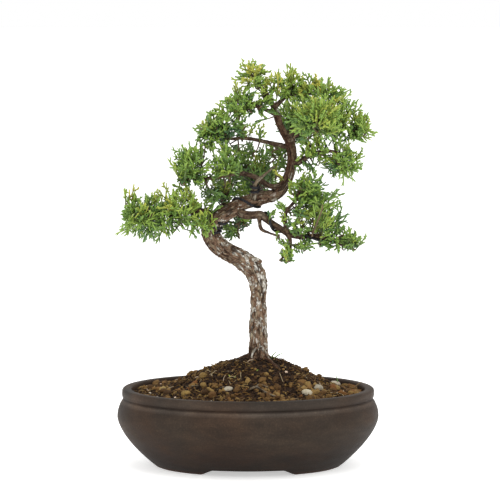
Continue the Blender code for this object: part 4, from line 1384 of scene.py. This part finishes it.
class WireSettings(bpy.types.PropertyGroup):
    """Fineness and colour of the training wires."""

    sides: IntProperty(
        name="Points round the wire", description="Points round the wire",
        default=16, min=6)
    anodising: FloatVectorProperty(
        name="Anodising", description="Colour of the anodised wire",
        default=colour("#26252a"), size=4, min=0.0, max=1.0, subtype="COLOR")


class FoliageSettings(bpy.types.PropertyGroup):
    """How the pads are filled with sprays, and their colour."""

    spacing: FloatProperty(
        name="Spacing", description="Least gap between spray tips, in millimetres",
        default=9.0, min=3.0)
    inner: FloatProperty(
        name="Inner share", description="Share of sprays that have a second one deeper inside",
        default=0.25, min=0.0, max=1.0, subtype="FACTOR")
    girth: FloatProperty(
        name="Shoot width", description="Width of a shoot, in millimetres",
        default=1.5, min=0.5)
    leaf: FloatVectorProperty(
        name="Leaf", description="Colour of a sunlit shoot",
        default=colour("#87a43f"), size=4, min=0.0, max=1.0, subtype="COLOR")


class PotSettings(bpy.types.PropertyGroup):
    """Fineness, dents and colour of the pot."""

    sides: IntProperty(
        name="Points round the pot", description="Points round each level of the pot",
        default=320, min=48)
    wobble: FloatProperty(
        name="Wobble", description="Strength of the dents left by hand, 1 as made",
        default=1.0, min=0.0)
    clay: FloatVectorProperty(
        name="Clay", description="Colour of the clay half way up",
        default=colour("#4f4135"), size=4, min=0.0, max=1.0, subtype="COLOR")


class SoilSettings(bpy.types.PropertyGroup):
    """What lies in the pot."""

    sides: IntProperty(
        name="Points round the mound", description="Points round each ring of the mound",
        default=360, min=48)
    rings: IntProperty(
        name="Rings", description="Rings from the trunk to the edge",
        default=110, min=10)
    stones: IntProperty(
        name="Grit", description="Number of fine grit stones; a quarter as many are coarse",
        default=1000, min=0)
    crumbs: IntProperty(name="Crumbs", description="Number of peat crumbs", default=4200, min=0)
    fibres: IntProperty(
        name="Fibres", description="Number of root hairs and twigs",
        default=700, min=0)
    detail: IntProperty(
        name="Pebble detail", description="Fineness of the larger pebbles",
        default=4, min=2, max=5)


class StageSettings(bpy.types.PropertyGroup):
    """Floor, light and camera."""

    overhead: FloatProperty(
        name="Overhead light", description="Power of the overhead soft box, in watts",
        default=14.0, min=0.0, unit="POWER")
    key: FloatProperty(
        name="Right light", description="Power of the right soft box, in watts",
        default=6.0, min=0.0, unit="POWER")
    fill: FloatProperty(
        name="Left light", description="Power of the left soft box, in watts",
        default=4.0, min=0.0, unit="POWER")
    sky: FloatProperty(
        name="Room light", description="Strength of the white room round the object",
        default=1.0, min=0.0)
    lens: FloatProperty(
        name="Lens", description="Focal length, in millimetres",
        default=186.3, min=20.0)
    elevation: FloatProperty(
        name="Elevation", description="Camera above the horizon, in degrees",
        default=5.5)
    distance: FloatProperty(
        name="Distance", description="Camera to the middle of the object",
        default=2.5, min=0.5, unit="LENGTH")
    room: FloatVectorProperty(
        name="Room", description="Colour of the room light",
        default=colour("#ffffff"), size=4, min=0.0, max=1.0, subtype="COLOR")


class BONSAI_OT_pot(bpy.types.Operator):
    """Build the clay pot"""

    bl_idname = "bonsai.pot"
    bl_label = "Pot"

    def execute(self, context):
        build_pot(context.scene.bonsai_pot)
        return {"FINISHED"}


class BONSAI_OT_screens(bpy.types.Operator):
    """Finish the drainage screens and their staples"""

    bl_idname = "bonsai.screens"
    bl_label = "Drainage screens"

    def execute(self, context):
        build_screens()
        return {"FINISHED"}


class BONSAI_OT_soil(bpy.types.Operator):
    """Build the mound of soil"""

    bl_idname = "bonsai.soil"
    bl_label = "Soil"

    def execute(self, context):
        build_soil(context.scene.bonsai_soil)
        return {"FINISHED"}


class BONSAI_OT_grit(bpy.types.Operator):
    """Strew grit, crumbs, chips and fibres over the soil"""

    bl_idname = "bonsai.grit"
    bl_label = "Grit and litter"

    def execute(self, context):
        build_grit(context.scene.bonsai_soil)
        build_fibres(context.scene.bonsai_soil)
        build_litter()
        return {"FINISHED"}


class BONSAI_OT_pebbles(bpy.types.Operator):
    """Build the larger pebbles"""

    bl_idname = "bonsai.pebbles"
    bl_label = "Pebbles"

    def execute(self, context):
        build_pebbles(context.scene.bonsai_soil)
        return {"FINISHED"}


class BONSAI_OT_trunk(bpy.types.Operator):
    """Build the trunk with its root flare"""

    bl_idname = "bonsai.trunk"
    bl_label = "Trunk"

    def execute(self, context):
        build_trunk(context.scene.bonsai_stems)
        return {"FINISHED"}


class BONSAI_OT_branches(bpy.types.Operator):
    """Build the branches"""

    bl_idname = "bonsai.branches"
    bl_label = "Branches"

    def execute(self, context):
        build_branches(context.scene.bonsai_stems)
        return {"FINISHED"}


class BONSAI_OT_wires(bpy.types.Operator):
    """Wind the training wires"""

    bl_idname = "bonsai.wires"
    bl_label = "Training wires"

    def execute(self, context):
        build_wires(context.scene.bonsai_wires)
        return {"FINISHED"}


class BONSAI_OT_foliage(bpy.types.Operator):
    """Grow the foliage pads"""

    bl_idname = "bonsai.foliage"
    bl_label = "Foliage"

    def execute(self, context):
        build_foliage(context.scene.bonsai_foliage)
        return {"FINISHED"}


class BONSAI_OT_stage(bpy.types.Operator):
    """Set up the floor, the light and the camera"""

    bl_idname = "bonsai.stage"
    bl_label = "Stage"

    def execute(self, context):
        build_stage(context.scene.bonsai_stage)
        return {"FINISHED"}


SETTINGS = {
    "bonsai_pot": PotSettings,
    "bonsai_soil": SoilSettings,
    "bonsai_stems": StemSettings,
    "bonsai_wires": WireSettings,
    "bonsai_foliage": FoliageSettings,
    "bonsai_stage": StageSettings,
}
OPERATORS = (
    BONSAI_OT_pot,
    BONSAI_OT_screens,
    BONSAI_OT_soil,
    BONSAI_OT_grit,
    BONSAI_OT_pebbles,
    BONSAI_OT_trunk,
    BONSAI_OT_branches,
    BONSAI_OT_wires,
    BONSAI_OT_foliage,
    BONSAI_OT_stage,
)


class BONSAI_PT_parts(bpy.types.Panel):
    """Lists the parts of the bonsai in the order in which they are built"""

    bl_idname = "BONSAI_PT_parts"
    bl_label = "Juniper bonsai"
    bl_space_type = "VIEW_3D"
    bl_region_type = "UI"
    bl_category = "Bonsai"

    def draw(self, context):
        for operator in OPERATORS:
            self.layout.operator(operator.bl_idname)


def register():
    for group in SETTINGS.values():
        bpy.utils.register_class(group)
    for name, group in SETTINGS.items():
        setattr(bpy.types.Scene, name, PointerProperty(type=group))
    for operator in OPERATORS:
        bpy.utils.register_class(operator)
    bpy.utils.register_class(BONSAI_PT_parts)


def unregister():
    bpy.utils.unregister_class(BONSAI_PT_parts)
    for operator in reversed(OPERATORS):
        bpy.utils.unregister_class(operator)
    for name, group in SETTINGS.items():
        delattr(bpy.types.Scene, name)
        bpy.utils.unregister_class(group)


def main():
    register()
    for operator in OPERATORS:
        family, name = operator.bl_idname.split(".")
        getattr(getattr(bpy.ops, family), name)()


if __name__ == "__main__":
    main()
